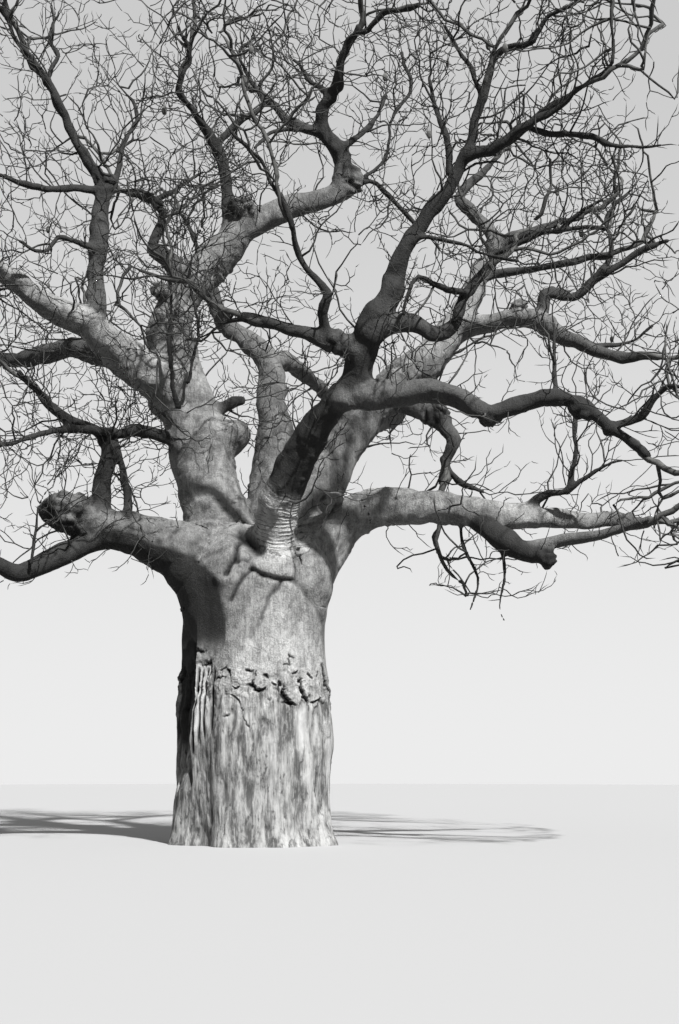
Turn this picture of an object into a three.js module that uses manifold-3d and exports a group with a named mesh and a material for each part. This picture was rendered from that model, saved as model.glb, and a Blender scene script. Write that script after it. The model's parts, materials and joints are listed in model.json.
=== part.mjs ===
// A whole baobab in its leafless season: a stout trunk with stripped bark, crooked boughs, bare twigs.
// Millimetres, +Z up, +Y away from the viewer. The origin is the middle of the flat cut at ground level.

import * as THREE from 'three';
import { mergeVertices } from 'three/addons/utils/BufferGeometryUtils.js';
import Module from 'manifold-3d';

const wasm = await Module();
wasm.setup();

// Sizes below are in metres and become millimetres as the geometry is made.
const METRE = 1000;
const TOUCH_GAP = 0.0003;
const SAME_POINT = 1e-3;

// Trunk
const TRUNK_RADIUS = 1.5;
const TRUNK_SIDES = 28;
const TRUNK_LEAN = -0.09;
// Each flute: waves round the trunk, depth as a share of the radius, and turn.
const FLUTES = [[3, 0.03, 2.6], [5, 0.03, 2.4], [8, 0.018, 2.9]];
const FLARE_TOP = 0.9;
const FLARE_FLUTES = 1.1;
// Height of each level, and its radius as a share of TRUNK_RADIUS: foot, waist, shoulders, fork.
const TRUNK_LEVELS = [
  [0, 1.05], [0.25, 1.01], [0.9, 1.0], [1.9, 1.03], [2.8, 1.0], [3.7, 0.94],
  [4.5, 0.93], [5.1, 0.95], [5.55, 0.86], [5.95, 0.64], [6.2, 0.36],
];
const TRUNK_TOP = 6.28;
// The torn hollow on the left: where it faces, in radians from +X, and its size.
const HOLLOW = { angle: 3.5, halfWidth: 0.3, depth: 0.26, foot: 1.2, top: 4.1 };

// Boughs: the step between two rings as a share of the limb's thickness, its limits, and the sides.
const RING_SHARE = 1.5;
const RING_LONGEST = 0.65;
const RING_SHORTEST = 0.34;
const FOOT_SHARE = 0.86;
const THICK_LIMB = 0.5;
const THICK_SIDES = 8;
const THIN_SIDES = 6;

// Crown: the outer limits that no twig passes, rounded in plan and over the top, flat underneath.
const CROWN_MIDDLE = [0.3, 0.4, 10.6];
const CROWN_HALF_WIDTH = 9.2;
const CROWN_HALF_DEPTH = 8.8;
const CROWN_RISE = 8.5;
const CROWN_DROP = 6.0;
const PLAN_SQUARENESS = 2.6;
const TOP_SQUARENESS = 3;
const UNDERSIDE_SQUARENESS = 6;
const CROWN_HEART = [0.2, 0.4, 6.4];

// Twigs: one row of sizes for each order of branching, from the stem of a mass outwards. The radii
// are those at the foot and at the tip.
const TWIG_ORDERS = [
  { length: 2.9, steps: 4, radius: 0.075, tip: 0.032 },
  { length: 2.3, steps: 3, radius: 0.038, tip: 0.02 },
  { length: 1.6, steps: 2, radius: 0.024, tip: 0.012 },
];
const STEM_SHARE = 0.9;
const TWIG_SIDES = 3;
const TWIG_BEND = 0.34;
const TWIG_SPREAD = 1.05;
const TWIG_WANDER = 0.22;
const TWIG_LIFT = 0.1;
const TWIG_SHORTENING = 0.35;
const TWIG_VARIETY = 0.2;
const TWIG_CLEARANCE = 0.03;
const TWIG_TURNS = 3;
const TWIG_TURN = 0.5;
const TWIG_PROBE = 0.1;
const GOLDEN_TURN = Math.PI * (3 - Math.sqrt(5));
const STEEP = 0.9;
const MASS_AHEAD = 1.2;
const MASS_REACH = 3.4;
const SEED = 1907;
// Which of a twig's seeded draws each choice takes, counted on by the step along the twig.
const DRAWS = { turn: 0, spread: 10, share: 20, wander: [30, 40, 50] };

const TRUNK_BARK = { color: 0x8f8f8c, roughness: 0.85 };
const BOUGH_BARK = { color: 0x84847f, roughness: 0.85 };
const TWIG_BARK = { color: 0x5d5d59, roughness: 0.9 };

// Each limb: its parent, its thickness from foot to tip at even steps, and the few places
// that its middle runs through. A limb with no twigs ends in a stub or goes on as another limb.
const LIMBS = {
  left_leader: {
    parent: 'trunk', bare: true, across: [1.3, 1.36, 1.25, 1.06, 0.9, 0.9],
    through: [[-0.65, 0.2, 5.3], [-0.95, 0.3, 6.75], [-1.25, 0.4, 7.85], [-1.5, 0.5, 8.7],
      [-1.8, 0.6, 9.7], [-1.95, 0.7, 10.5], [-1.85, 0.8, 11.2], [-1.5, 0.9, 11.85]],
  },
  right_leader: {
    parent: 'trunk', bare: true, across: [1.14, 1.02, 0.9, 0.78, 0.62, 0.46],
    through: [[0.5, 0.4, 5.65], [1.2, 0.9, 7.4], [1.7, 1.3, 8.35], [2.4, 1.7, 9.2], [3.15, 2.1, 10.05],
      [3.8, 2.5, 10.7], [4.4, 2.9, 11.55], [4.75, 3.2, 12.3], [4.95, 3.4, 12.95]],
  },
  near_bough: {
    parent: 'trunk', bare: true, across: [1.08, 0.84, 0.74, 0.64, 0.52, 0.44],
    through: [[0.25, -0.4, 4.75], [0.4, -0.9, 5.75], [0.45, -1.3, 6.5], [0.65, -1.5, 6.95],
      [0.85, -1.8, 7.35], [1.15, -2.1, 7.8], [1.5, -2.4, 8.2], [1.9, -2.7, 8.55], [2.05, -2.9, 9.05],
      [2.2, -3.1, 9.4], [2.3, -3.2, 9.7]],
  },
  left_low_bough: {
    parent: 'trunk', bare: true, across: [1.55, 1.1, 0.84, 0.72, 0.6],
    through: [[-0.5, -0.1, 4.9], [-1.35, -0.3, 5.6], [-2.2, -0.5, 5.95], [-2.9, -0.8, 6.1],
      [-3.9, -1.1, 6.4]],
  },
  right_low_bough: {
    parent: 'trunk', across: [1.48, 0.92, 0.76, 0.58, 0.4, 0.25],
    through: [[0.6, -0.1, 5.05], [1.55, -0.1, 6.15], [2.25, -0.1, 6.6], [3.55, -0.3, 6.6],
      [4.85, -0.5, 6.4], [6.1, -0.2, 6.4], [7.5, 0.3, 6.45]],
  },
  middle_back_bough: {
    parent: 'trunk', across: [0.95, 0.9, 0.66, 0.46, 0.36, 0.28],
    through: [[0.05, 0.5, 5.65], [0.25, 1.1, 8.65], [0.15, 1.3, 9.3], [0.15, 1.6, 9.8],
      [0, 1.8, 10.35], [-0.5, 2.1, 10.9], [-0.95, 2.6, 11.4], [-1.2, 3.2, 11.9], [-1.7, 4.4, 13.4]],
  },
  left_leader_top: {
    parent: 'left_leader', bare: true, across: [0.9, 0.68, 0.46, 0.44],
    through: [[-1.6, 0.9, 11.7], [-0.9, 0.9, 12.45], [-0.45, 1, 13], [0.2, 1.1, 13.4], [1, 1.2, 13.7],
      [1.6, 1.3, 13.95], [1.85, 1.4, 14.3]],
  },
  left_mid_bough: {
    parent: 'left_leader', across: [1.1, 0.76, 0.54, 0.46, 0.26],
    through: [[-1.6, 0.5, 9.1], [-2.8, -0.2, 9.8], [-3.5, -0.6, 10.3], [-4.2, -1, 10.6],
      [-4.65, -1.3, 10.9], [-5.8, -2.1, 11.55], [-6.4, -2.8, 11.9]],
  },
  left_riser: {
    parent: 'left_mid_bough', across: [0.46, 0.36, 0.3, 0.18, 0.14],
    through: [[-3.35, -0.5, 10.3], [-3.35, -0.6, 11.1], [-3.25, -0.9, 12.8], [-3.2, -1, 13.2],
      [-3.75, -1.2, 14.05], [-3.95, -1.3, 14.55], [-4.4, -1.5, 15.3]],
  },
  left_back_bough: {
    parent: 'left_mid_bough', across: [0.56, 0.5, 0.4, 0.26],
    through: [[-2.85, 0, 9.85], [-3.6, 0.9, 10.2], [-4.5, 1.9, 10.55], [-5.9, 3.3, 10.7],
      [-6.6, 4, 10.95]],
  },
  left_low_fork: {
    parent: 'left_low_bough', across: [0.48, 0.46, 0.34, 0.16],
    through: [[-2.7, -0.7, 6.05], [-3.3, -0.9, 5.8], [-4.1, -1.4, 5.3], [-4.5, -1.6, 5.1],
      [-4.9, -1.9, 5.3], [-5.4, -2.3, 5.7]],
  },
  left_low_riser: {
    parent: 'left_low_bough', across: [0.4, 0.34, 0.24, 0.14],
    through: [[-3.1, -0.9, 6.2], [-3.1, -0.8, 6.9], [-2.95, -0.7, 7.7], [-3.15, -0.7, 8.05],
      [-3.9, -0.9, 8.4], [-4.4, -1.0, 8.8]],
  },
  left_hook: {
    parent: 'left_leader', across: [0.52, 0.4, 0.22, 0.17, 0.14],
    through: [[-1.7, 0.85, 11.55], [-2.05, 1.2, 12.3], [-2.55, 1.6, 12.75], [-2.4, 2.1, 13.6],
      [-2.65, 2.6, 14.3], [-3.1, 3.0, 14.6]],
  },
  crown_riser: {
    parent: 'left_leader_top', across: [0.44, 0.28, 0.24, 0.17, 0.11],
    through: [[-0.65, 0.95, 12.8], [-0.8, 0.9, 13.5], [-0.95, 0.8, 14.5], [-1.4, 0.6, 15.35],
      [-1.9, 0.4, 15.85], [-1.8, 0.3, 16.2]],
  },
  top_riser: {
    parent: 'left_leader_top', across: [0.45, 0.34, 0.24, 0.16],
    through: [[1.65, 1.3, 14.1], [1.7, 1.3, 14.7], [1.3, 1.1, 15.3], [1.3, 0.9, 15.8],
      [1.6, 0.6, 16.5], [1.8, 0.4, 16.9]],
  },
  top_left_arm: {
    parent: 'top_riser', across: [0.26, 0.24, 0.16],
    through: [[1.25, 1.1, 15.35], [0.8, 1.2, 15.45], [0.5, 1.4, 15.7], [0.2, 1.6, 16.1]],
  },
  near_leader: {
    parent: 'near_bough', across: [0.46, 0.3, 0.22, 0.13],
    through: [[2.2, -3.15, 9.4], [2.55, -3.3, 10.0], [2.75, -3.4, 10.75], [3.2, -3.5, 11.45],
      [3.7, -3.6, 12.2], [4.05, -3.7, 12.85], [4.35, -3.9, 13.9]],
  },
  near_right_bough: {
    parent: 'near_bough', across: [0.64, 0.5, 0.44, 0.3, 0.25, 0.15],
    through: [[1.65, -2.55, 8.3], [2.4, -2.9, 8.3], [3.5, -3.3, 8.2], [4.4, -3.6, 7.75],
      [5.3, -3.8, 7.95], [5.85, -4.0, 7.85], [6.6, -4.3, 7.15]],
  },
  near_inner_arm: {
    parent: 'near_bough', across: [0.4, 0.3, 0.2, 0.16],
    through: [[2.2, -3.15, 9.45], [2.95, -3.2, 9.55], [3.4, -3.1, 9.4], [3.75, -3.0, 9.65],
      [3.9, -2.8, 10.15], [4.15, -2.6, 10.5]],
  },
  near_left_arm: {
    parent: 'near_bough', across: [0.4, 0.26, 0.18],
    through: [[1.95, -3.0, 9.05], [1.55, -3.0, 9.2], [0.8, -2.8, 9.55], [0.25, -2.7, 9.75]],
  },
  near_left_riser: {
    parent: 'near_left_arm', across: [0.22, 0.15, 0.11],
    through: [[1.45, -2.95, 9.3], [1.3, -3.1, 9.7], [1.4, -3.3, 10.1], [1.0, -3.5, 10.65],
      [0.75, -3.8, 11.3]],
  },
  near_top_right: {
    parent: 'near_leader', across: [0.2, 0.16, 0.11],
    through: [[3.9, -3.65, 12.55], [4.4, -3.9, 12.6], [5.25, -4.5, 13.05], [5.9, -5.0, 13.3]],
  },
  right_leader_top: {
    parent: 'right_leader', across: [0.44, 0.36, 0.26, 0.2],
    through: [[4.9, 3.35, 12.8], [5.35, 3.7, 13.75], [4.8, 4.1, 14.65], [4.55, 4.3, 15.1],
      [5.1, 4.6, 15.8]],
  },
  right_top_arm: {
    parent: 'right_leader_top', across: [0.28, 0.22, 0.15],
    through: [[5.25, 3.65, 13.55], [5.9, 3.6, 13.8], [6.9, 3.6, 14.2]],
  },
  right_arm: {
    parent: 'right_leader', across: [0.24, 0.18, 0.14],
    through: [[4.85, 3.3, 12.6], [5.4, 3.2, 12.8], [6.7, 2.8, 12.8], [7.4, 2.6, 12.95]],
  },
  right_mid_bough: {
    parent: 'right_leader', across: [0.5, 0.42, 0.4, 0.3, 0.2],
    through: [[4.2, 2.8, 11.3], [4.95, 2.5, 11.35], [5.7, 2.2, 11.35], [6.8, 1.6, 10.7],
      [7.4, 1.3, 10.3], [8.0, 1.0, 10.15]],
  },
  right_drop_bough: {
    parent: 'right_leader', across: [0.52, 0.44, 0.32, 0.18],
    through: [[2.55, 1.8, 9.45], [3.15, 1.6, 9.15], [3.7, 1.4, 8.85], [4.05, 1.2, 8.4],
      [3.9, 1.05, 7.8]],
  },
  right_low_fork: {
    parent: 'right_low_bough', bare: true, across: [0.44, 0.46, 0.3],
    through: [[4.35, -0.5, 6.4], [4.8, -0.9, 5.9], [5.15, -1.2, 5.6], [5.6, -1.5, 5.4]],
  },
  right_low_tip: {
    parent: 'right_low_fork', across: [0.28, 0.24, 0.16],
    through: [[5.2, -1.25, 5.6], [5.9, -1.5, 5.75], [6.6, -1.9, 5.8], [7.0, -2.2, 5.9]],
  },
  back_bough: {
    parent: 'middle_back_bough', across: [0.44, 0.38, 0.28],
    through: [[0.1, 1.85, 10.2], [0.5, 3.2, 10.65], [0.9, 4.6, 10.6], [1.2, 5.7, 10.6]],
  },
  rear_left_bough: {
    parent: 'left_leader', across: [0.7, 0.5, 0.3],
    through: [[-1.4, 0.6, 8.4], [-2.4, 2.6, 9.6], [-3.4, 4.4, 10.9], [-4.2, 5.7, 12.1]],
  },
  rear_right_bough: {
    parent: 'right_leader', across: [0.6, 0.46, 0.28],
    through: [[1.8, 1.4, 8.5], [2.7, 3.2, 9.3], [3.3, 4.8, 10.2], [4.2, 6.2, 11.4]],
  },
};

const vector = (place) => new THREE.Vector3(...place);

// The value at a share of the way along a list of evenly spaced values.
function along(values, share) {
  const place = share * (values.length - 1);
  const low = Math.min(Math.floor(place), values.length - 2);
  return THREE.MathUtils.lerp(values[low], values[low + 1], place - low);
}

// The ring of a parent limb that is nearest to a place.
function nearestRing(parent, place) {
  return parent.rings.reduce((best, ring) => (
    ring.middle.distanceTo(place) < best.middle.distanceTo(place) ? ring : best));
}

// Rings along a limb's curve: the middle, the radius and the way that each ring faces. The foot
// is kept thinner than the limb that it springs from, so that it stays hidden inside.
function limbRings(limb) {
  const curve = new THREE.CatmullRomCurve3(limb.through.map(vector), false, 'centripetal');
  const thickness = limb.across.reduce((sum, across) => sum + across) / limb.across.length;
  const step = THREE.MathUtils.clamp(RING_SHARE * thickness, RING_SHORTEST, RING_LONGEST);
  const count = Math.max(3, Math.round(curve.getLength() / step));
  const rings = [];
  for (let i = 0; i <= count; i += 1) {
    rings.push({
      middle: curve.getPointAt(i / count),
      radius: along(limb.across, i / count) / 2,
      facing: curve.getTangentAt(i / count),
    });
  }
  if (limb.parent !== 'trunk') {
    const carrier = nearestRing(LIMBS[limb.parent], rings[0].middle);
    rings[0].radius = Math.min(rings[0].radius, FOOT_SHARE * carrier.radius);
  }
  return rings;
}

// Two directions across a heading, at right angles to each other.
function acrossAxes(heading) {
  const steep = Math.abs(heading.z) > STEEP;
  const helper = steep ? new THREE.Vector3(1, 0, 0) : new THREE.Vector3(0, 0, 1);
  const side = new THREE.Vector3().crossVectors(heading, helper).normalize();
  return [side, new THREE.Vector3().crossVectors(heading, side)];
}

// The walls of a stack of rings, and a fan from the foot and from the tip to close the ends.
function closeStack(positions, ringCount, sides, foot, tip) {
  const faces = [];
  const footIndex = positions.length / 3;
  const rim = (ringCount - 1) * sides;
  for (let i = 0; i < sides; i += 1) {
    const next = (i + 1) % sides;
    for (let low = 0; low < rim; low += sides) {
      const high = low + sides;
      faces.push(low + i, low + next, high + next, low + i, high + next, high + i);
    }
    faces.push(footIndex, next, i, footIndex + 1, rim + i, rim + next);
  }
  const geometry = new THREE.BufferGeometry();
  const metres = [...positions, ...foot, ...tip];
  geometry.setAttribute('position', new THREE.Float32BufferAttribute(metres.map((m) => m * METRE), 3));
  geometry.setIndex(faces);
  return geometry;
}

// A closed tapering tube round a row of rings, its side vectors carried on from ring to ring.
function tubeGeometry(rings, sides, grow, pointed) {
  const positions = [];
  let side = acrossAxes(rings[0].facing)[0];
  const last = rings.length - 1;
  const ringCount = pointed ? last : last + 1;
  for (const ring of rings.slice(0, ringCount)) {
    side = side.clone().addScaledVector(ring.facing, -side.dot(ring.facing)).normalize();
    const up = new THREE.Vector3().crossVectors(ring.facing, side);
    for (let i = 0; i < sides; i += 1) {
      const angle = 2 * Math.PI * i / sides;
      const place = ring.middle.clone()
        .addScaledVector(side, (ring.radius + grow) * Math.cos(angle))
        .addScaledVector(up, (ring.radius + grow) * Math.sin(angle));
      positions.push(place.x, place.y, place.z);
    }
  }
  const foot = rings[0].middle.clone().addScaledVector(rings[0].facing, -grow);
  const tip = rings[last].middle.clone().addScaledVector(rings[last].facing, grow);
  return closeStack(positions, ringCount, sides, foot, tip);
}

// How far the trunk's skin stands from its middle, with its flutes and the torn hollow on the left.
function trunkRadius(height, share, angle, grow) {
  const flare = FLARE_FLUTES * Math.max(0, 1 - height / FLARE_TOP);
  let radius = TRUNK_RADIUS * share;
  for (const [waves, depth, turn] of FLUTES) {
    radius += TRUNK_RADIUS * depth * (1 + flare) * Math.cos(waves * angle + turn);
  }
  const turnFromHollow = Math.abs(angle - HOLLOW.angle) / HOLLOW.halfWidth;
  if (height > HOLLOW.foot && height < HOLLOW.top && turnFromHollow < 1) {
    radius -= HOLLOW.depth * (1 - turnFromHollow ** 2);
  }
  return radius + grow;
}

function trunkGeometry(grow) {
  const positions = [];
  for (const [height, share] of TRUNK_LEVELS) {
    for (let i = 0; i < TRUNK_SIDES; i += 1) {
      const angle = 2 * Math.PI * i / TRUNK_SIDES;
      const radius = trunkRadius(height, share, angle, grow);
      const lean = TRUNK_LEAN * height / TRUNK_TOP;
      positions.push(lean + radius * Math.cos(angle), radius * Math.sin(angle), height);
    }
  }
  const top = [TRUNK_LEAN, 0, TRUNK_TOP + grow];
  return closeStack(positions, TRUNK_LEVELS.length, TRUNK_SIDES, [0, 0, 0], top);
}

function solidOf(geometry) {
  const bare = mergeVertices(geometry, SAME_POINT);
  return new wasm.Manifold(new wasm.Mesh({
    numProp: 3,
    vertProperties: new Float32Array(bare.attributes.position.array),
    triVerts: new Uint32Array(bare.index.array),
  }));
}

function geometryOf(solid) {
  const mesh = solid.getMesh();
  const geometry = new THREE.BufferGeometry();
  geometry.setAttribute('position', new THREE.BufferAttribute(new Float32Array(mesh.vertProperties), 3));
  geometry.setIndex(new THREE.BufferAttribute(new Uint32Array(mesh.triVerts), 1));
  return geometry;
}

// The largest of the separate bodies in a solid, so that no loose scrap is kept.
function largestBody(solid) {
  return solid.decompose().reduce((best, body) => (body.volume() > best.volume() ? body : best));
}

function limbSolid(limb, grow) {
  const sides = limb.across[0] > THICK_LIMB ? THICK_SIDES : THIN_SIDES;
  return solidOf(tubeGeometry(limb.rings, sides, grow, false));
}

function boxesMeet(a, b) {
  const [one, two] = [a.boundingBox(), b.boundingBox()];
  return [0, 1, 2].every((k) => one.min[k] < two.max[k] && two.min[k] < one.max[k]);
}

// Every limb, each cut clear of the trunk and of the limbs made before it.
function makeLimbs() {
  const trunk = solidOf(trunkGeometry(0));
  const grown = [solidOf(trunkGeometry(TOUCH_GAP))];
  const solids = { trunk };
  for (const [name, limb] of Object.entries(LIMBS)) {
    limb.rings = limbRings(limb);
    let solid = limbSolid(limb, 0);
    for (const other of grown) {
      if (boxesMeet(solid, other)) solid = solid.subtract(other);
    }
    solids[name] = largestBody(solid);
    grown.push(limbSolid(limb, TOUCH_GAP));
  }
  return solids;
}

// Seeded draws: the same key and turn always give the same number from 0 to 1.
function scramble(number) {
  let n = number >>> 0;
  n = Math.imul(n ^ (n >>> 16), 0x7feb352d);
  n = Math.imul(n ^ (n >>> 15), 0x846ca68b);
  return (n ^ (n >>> 16)) >>> 0;
}

const draw = (key, turn) => scramble(key + Math.imul(turn, 0x9e3779b9)) / 2 ** 32;
const swing = (key, turn) => 2 * draw(key, turn) - 1;

// A mass of twigs keeps to the points that are nearer its own middle than any other's.
function makeMasses() {
  const masses = [];
  for (const [name, limb] of Object.entries(LIMBS)) {
    if (limb.bare) continue;
    const tip = limb.rings[limb.rings.length - 1];
    const outward = tip.middle.clone().sub(vector(CROWN_HEART)).normalize();
    masses.push({
      name: `${name}_twigs`,
      tip,
      outward,
      middle: tip.middle.clone().addScaledVector(outward, MASS_AHEAD),
      key: scramble(SEED + masses.length),
    });
  }
  return masses;
}

function insideCrown(place) {
  const [x, y, z] = CROWN_MIDDLE;
  const plan = (Math.abs((place.x - x) / CROWN_HALF_WIDTH) ** PLAN_SQUARENESS
    + Math.abs((place.y - y) / CROWN_HALF_DEPTH) ** PLAN_SQUARENESS) ** (1 / PLAN_SQUARENESS);
  const above = place.z > z;
  const height = Math.abs(place.z - z) / (above ? CROWN_RISE : CROWN_DROP);
  const squareness = above ? TOP_SQUARENESS : UNDERSIDE_SQUARENESS;
  return plan ** squareness + height ** squareness < 1;
}

function insideOwnSpace(place, margin, mass, masses) {
  const own = place.distanceToSquared(mass.middle);
  if (own > MASS_REACH ** 2 || !insideCrown(place)) return false;
  for (const other of masses) {
    if (other === mass) continue;
    const apart = 2 * other.middle.distanceTo(mass.middle);
    if ((place.distanceToSquared(other.middle) - own) / apart < margin) return false;
  }
  return true;
}

// The clear distance from a place to the nearest limb or to the trunk.
function roomAround(place) {
  const spine = new THREE.Line3();
  const nearest = new THREE.Vector3();
  let room = Math.hypot(place.x, place.y) - TRUNK_RADIUS;
  if (place.z > TRUNK_TOP) room = Math.max(room, place.z - TRUNK_TOP);
  for (const { rings } of Object.values(LIMBS)) {
    for (let i = 0; i + 1 < rings.length; i += 1) {
      spine.set(rings[i].middle, rings[i + 1].middle);
      spine.closestPointToPoint(place, true, nearest);
      const thickest = Math.max(rings[i].radius, rings[i + 1].radius);
      room = Math.min(room, nearest.distanceTo(place) - thickest);
    }
  }
  return room;
}

function stretchIsClear(start, end, radius, mass, masses) {
  const probes = Math.ceil(start.distanceTo(end) / TWIG_PROBE);
  for (let i = 1; i <= probes; i += 1) {
    const place = start.clone().lerp(end, i / probes);
    if (!insideOwnSpace(place, radius, mass, masses)) return false;
    if (roomAround(place) < radius + TWIG_CLEARANCE) return false;
  }
  return true;
}

// The end of a twig's next stretch. One that would leave the mass's space or touch a limb is turned
// towards the middle of the mass, a few times at most, and then left out.
function nextStretch(start, way, length, radius, mass, masses) {
  const homeward = mass.middle.clone().sub(start).normalize();
  for (let turn = 0; turn <= TWIG_TURNS; turn += 1) {
    const heading = way.clone().addScaledVector(homeward, TWIG_TURN * turn).normalize();
    const end = start.clone().addScaledVector(heading, length);
    if (stretchIsClear(start, end, radius, mass, masses)) return { end, heading };
  }
  return null;
}

// One twig: it leans away from each side twig that it bears, wanders a little and lifts to the light.
// The first stretch of a mass's stem carries straight on from its bough.
function growTwig(order, key, start, heading, share, mass, masses) {
  const size = TWIG_ORDERS[order];
  const places = [start.clone()];
  const shoots = [];
  let way = heading.clone();
  for (let step = 1; step <= size.steps; step += 1) {
    const last = places[step - 1];
    const length = size.length * share / size.steps;
    const stretch = order === 0 && step === 1
      ? { end: last.clone().addScaledVector(way, length), heading: way }
      : nextStretch(last, way, length, size.radius, mass, masses);
    if (!stretch) break;
    const { end, heading: course } = stretch;
    places.push(end);
    const [side, up] = acrossAxes(course);
    const turn = GOLDEN_TURN * step + 2 * Math.PI * draw(key, DRAWS.turn);
    const away = side.multiplyScalar(Math.cos(turn)).addScaledVector(up, Math.sin(turn));
    const spread = TWIG_SPREAD + TWIG_WANDER * swing(key, DRAWS.spread + step);
    shoots.push({
      start: end,
      heading: course.clone().multiplyScalar(Math.cos(spread)).addScaledVector(away, Math.sin(spread)),
      share: 1 - TWIG_SHORTENING * (step - 1) / size.steps
        + TWIG_VARIETY * swing(key, DRAWS.share + step),
      key: scramble(key + step),
    });
    const wander = vector(DRAWS.wander.map((first) => swing(key, first + step)));
    way = course.clone().addScaledVector(away, -TWIG_BEND)
      .addScaledVector(wander, TWIG_WANDER)
      .addScaledVector(mass.outward, TWIG_LIFT)
      .add(new THREE.Vector3(0, 0, TWIG_LIFT))
      .normalize();
  }
  return { places, shoots, size };
}

function twigGeometry({ places, size }, footRadius) {
  const rings = places.map((middle, i) => {
    const before = places[Math.max(i - 1, 0)];
    const after = places[Math.min(i + 1, places.length - 1)];
    const facing = i === 0 ? places[1].clone().sub(middle) : after.clone().sub(before);
    const taper = THREE.MathUtils.lerp(footRadius, size.tip, i / (places.length - 1));
    return { middle, radius: taper, facing: facing.normalize() };
  });
  return tubeGeometry(rings, TWIG_SIDES, 0, true);
}

// A mass: its stem starts a touch clear of its bough's tip, and each order springs from the last.
function massSolid(mass, masses) {
  const start = mass.tip.middle.clone().addScaledVector(mass.tip.facing, TOUCH_GAP);
  const stemRadius = Math.min(TWIG_ORDERS[0].radius, STEM_SHARE * mass.tip.radius);
  let shoots = [{ start, heading: mass.tip.facing, share: 1, key: mass.key }];
  let solid = null;
  TWIG_ORDERS.forEach((size, order) => {
    const next = [];
    for (const shoot of shoots) {
      const twig = growTwig(order, shoot.key, shoot.start, shoot.heading, shoot.share, mass, masses);
      if (twig.places.length < 2) continue;
      const piece = solidOf(twigGeometry(twig, order === 0 ? stemRadius : size.radius));
      solid = solid ? solid.add(piece) : piece;
      next.push(...twig.shoots);
    }
    shoots = next;
  });
  return largestBody(solid);
}

function addNode(tree, name, solid, bark) {
  const material = new THREE.MeshStandardMaterial({ ...bark, metalness: 0 });
  const mesh = new THREE.Mesh(geometryOf(solid), material);
  mesh.name = name;
  tree.add(mesh);
}

const tree = new THREE.Group();
for (const [name, solid] of Object.entries(makeLimbs())) {
  addNode(tree, name, solid, name === 'trunk' ? TRUNK_BARK : BOUGH_BARK);
}
const masses = makeMasses();
for (const mass of masses) {
  addNode(tree, mass.name, massSolid(mass, masses), TWIG_BARK);
}

export default tree;
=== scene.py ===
"""The looks of a whole leafless baobab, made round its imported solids.

The trunk, fork and boughs get one skin with the relief of their bark. The twigs grow on from the
boughs by the rule of the solids and are carried to finer orders. A few pods hang among them.
"""

import collections
import functools
import json
import math

import bmesh
import bpy
import numpy as np
from mathutils import Matrix, Vector

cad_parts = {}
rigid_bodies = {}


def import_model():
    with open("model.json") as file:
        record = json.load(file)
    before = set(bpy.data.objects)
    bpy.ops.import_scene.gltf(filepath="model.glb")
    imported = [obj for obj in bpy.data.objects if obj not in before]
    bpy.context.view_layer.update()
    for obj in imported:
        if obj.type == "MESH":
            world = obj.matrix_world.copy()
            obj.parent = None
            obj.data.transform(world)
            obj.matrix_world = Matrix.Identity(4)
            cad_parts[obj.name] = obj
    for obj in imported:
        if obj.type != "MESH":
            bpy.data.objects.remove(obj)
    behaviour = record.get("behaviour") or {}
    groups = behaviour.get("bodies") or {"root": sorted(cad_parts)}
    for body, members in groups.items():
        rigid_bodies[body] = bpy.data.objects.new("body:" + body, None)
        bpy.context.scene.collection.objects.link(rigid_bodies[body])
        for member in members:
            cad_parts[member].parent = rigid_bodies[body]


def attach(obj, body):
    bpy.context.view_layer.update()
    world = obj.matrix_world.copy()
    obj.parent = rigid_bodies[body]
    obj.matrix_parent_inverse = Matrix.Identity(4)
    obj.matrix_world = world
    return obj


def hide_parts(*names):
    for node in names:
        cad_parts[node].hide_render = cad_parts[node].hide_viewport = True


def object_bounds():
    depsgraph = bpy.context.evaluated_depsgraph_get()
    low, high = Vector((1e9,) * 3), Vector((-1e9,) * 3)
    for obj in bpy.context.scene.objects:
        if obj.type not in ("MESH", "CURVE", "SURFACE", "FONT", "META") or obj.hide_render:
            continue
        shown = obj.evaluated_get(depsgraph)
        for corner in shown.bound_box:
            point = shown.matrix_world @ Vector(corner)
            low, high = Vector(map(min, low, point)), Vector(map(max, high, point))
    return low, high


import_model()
CAD_LOW, CAD_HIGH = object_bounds()

bl_info = {
    "name": "Baobab tree",
    "version": (1, 0, 0),
    "blender": (4, 5, 0),
    "location": "View3D > Sidebar > Baobab",
    "description": "A leafless baobab: bark skin, crooked twigs and hanging pods",
    "category": "Object",
}

BODY = "root"

# Trunk of the solids, in metres: radius, lean, flutes, and the level and share of each ring.
TRUNK_RADIUS = 1.5
TRUNK_LEAN = -0.09
TRUNK_TOP = 6.28
FLUTES = ((3, 0.03, 2.6), (5, 0.03, 2.4), (8, 0.018, 2.9))
FLARE_TOP = 0.9
FLARE_FLUTES = 1.1
# The hollow on the trunk's left: its turn and half width in radians, its depth, and the heights
# between which it fades in and out.
HOLLOW_TURN = 3.5
HOLLOW_HALF_WIDTH = 0.3
HOLLOW_DEPTH = 0.26
HOLLOW_FOOT = (0.9, 1.9)
HOLLOW_TOP = (3.7, 4.5)
TRUNK_LEVELS = (
    (0, 1.05), (0.25, 1.01), (0.9, 1.0), (1.9, 1.03), (2.8, 1.0), (3.7, 0.94),
    (4.5, 0.93), (5.1, 0.95), (5.55, 0.86), (5.95, 0.64), (6.2, 0.36), (6.28, 0.06),
)

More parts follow.
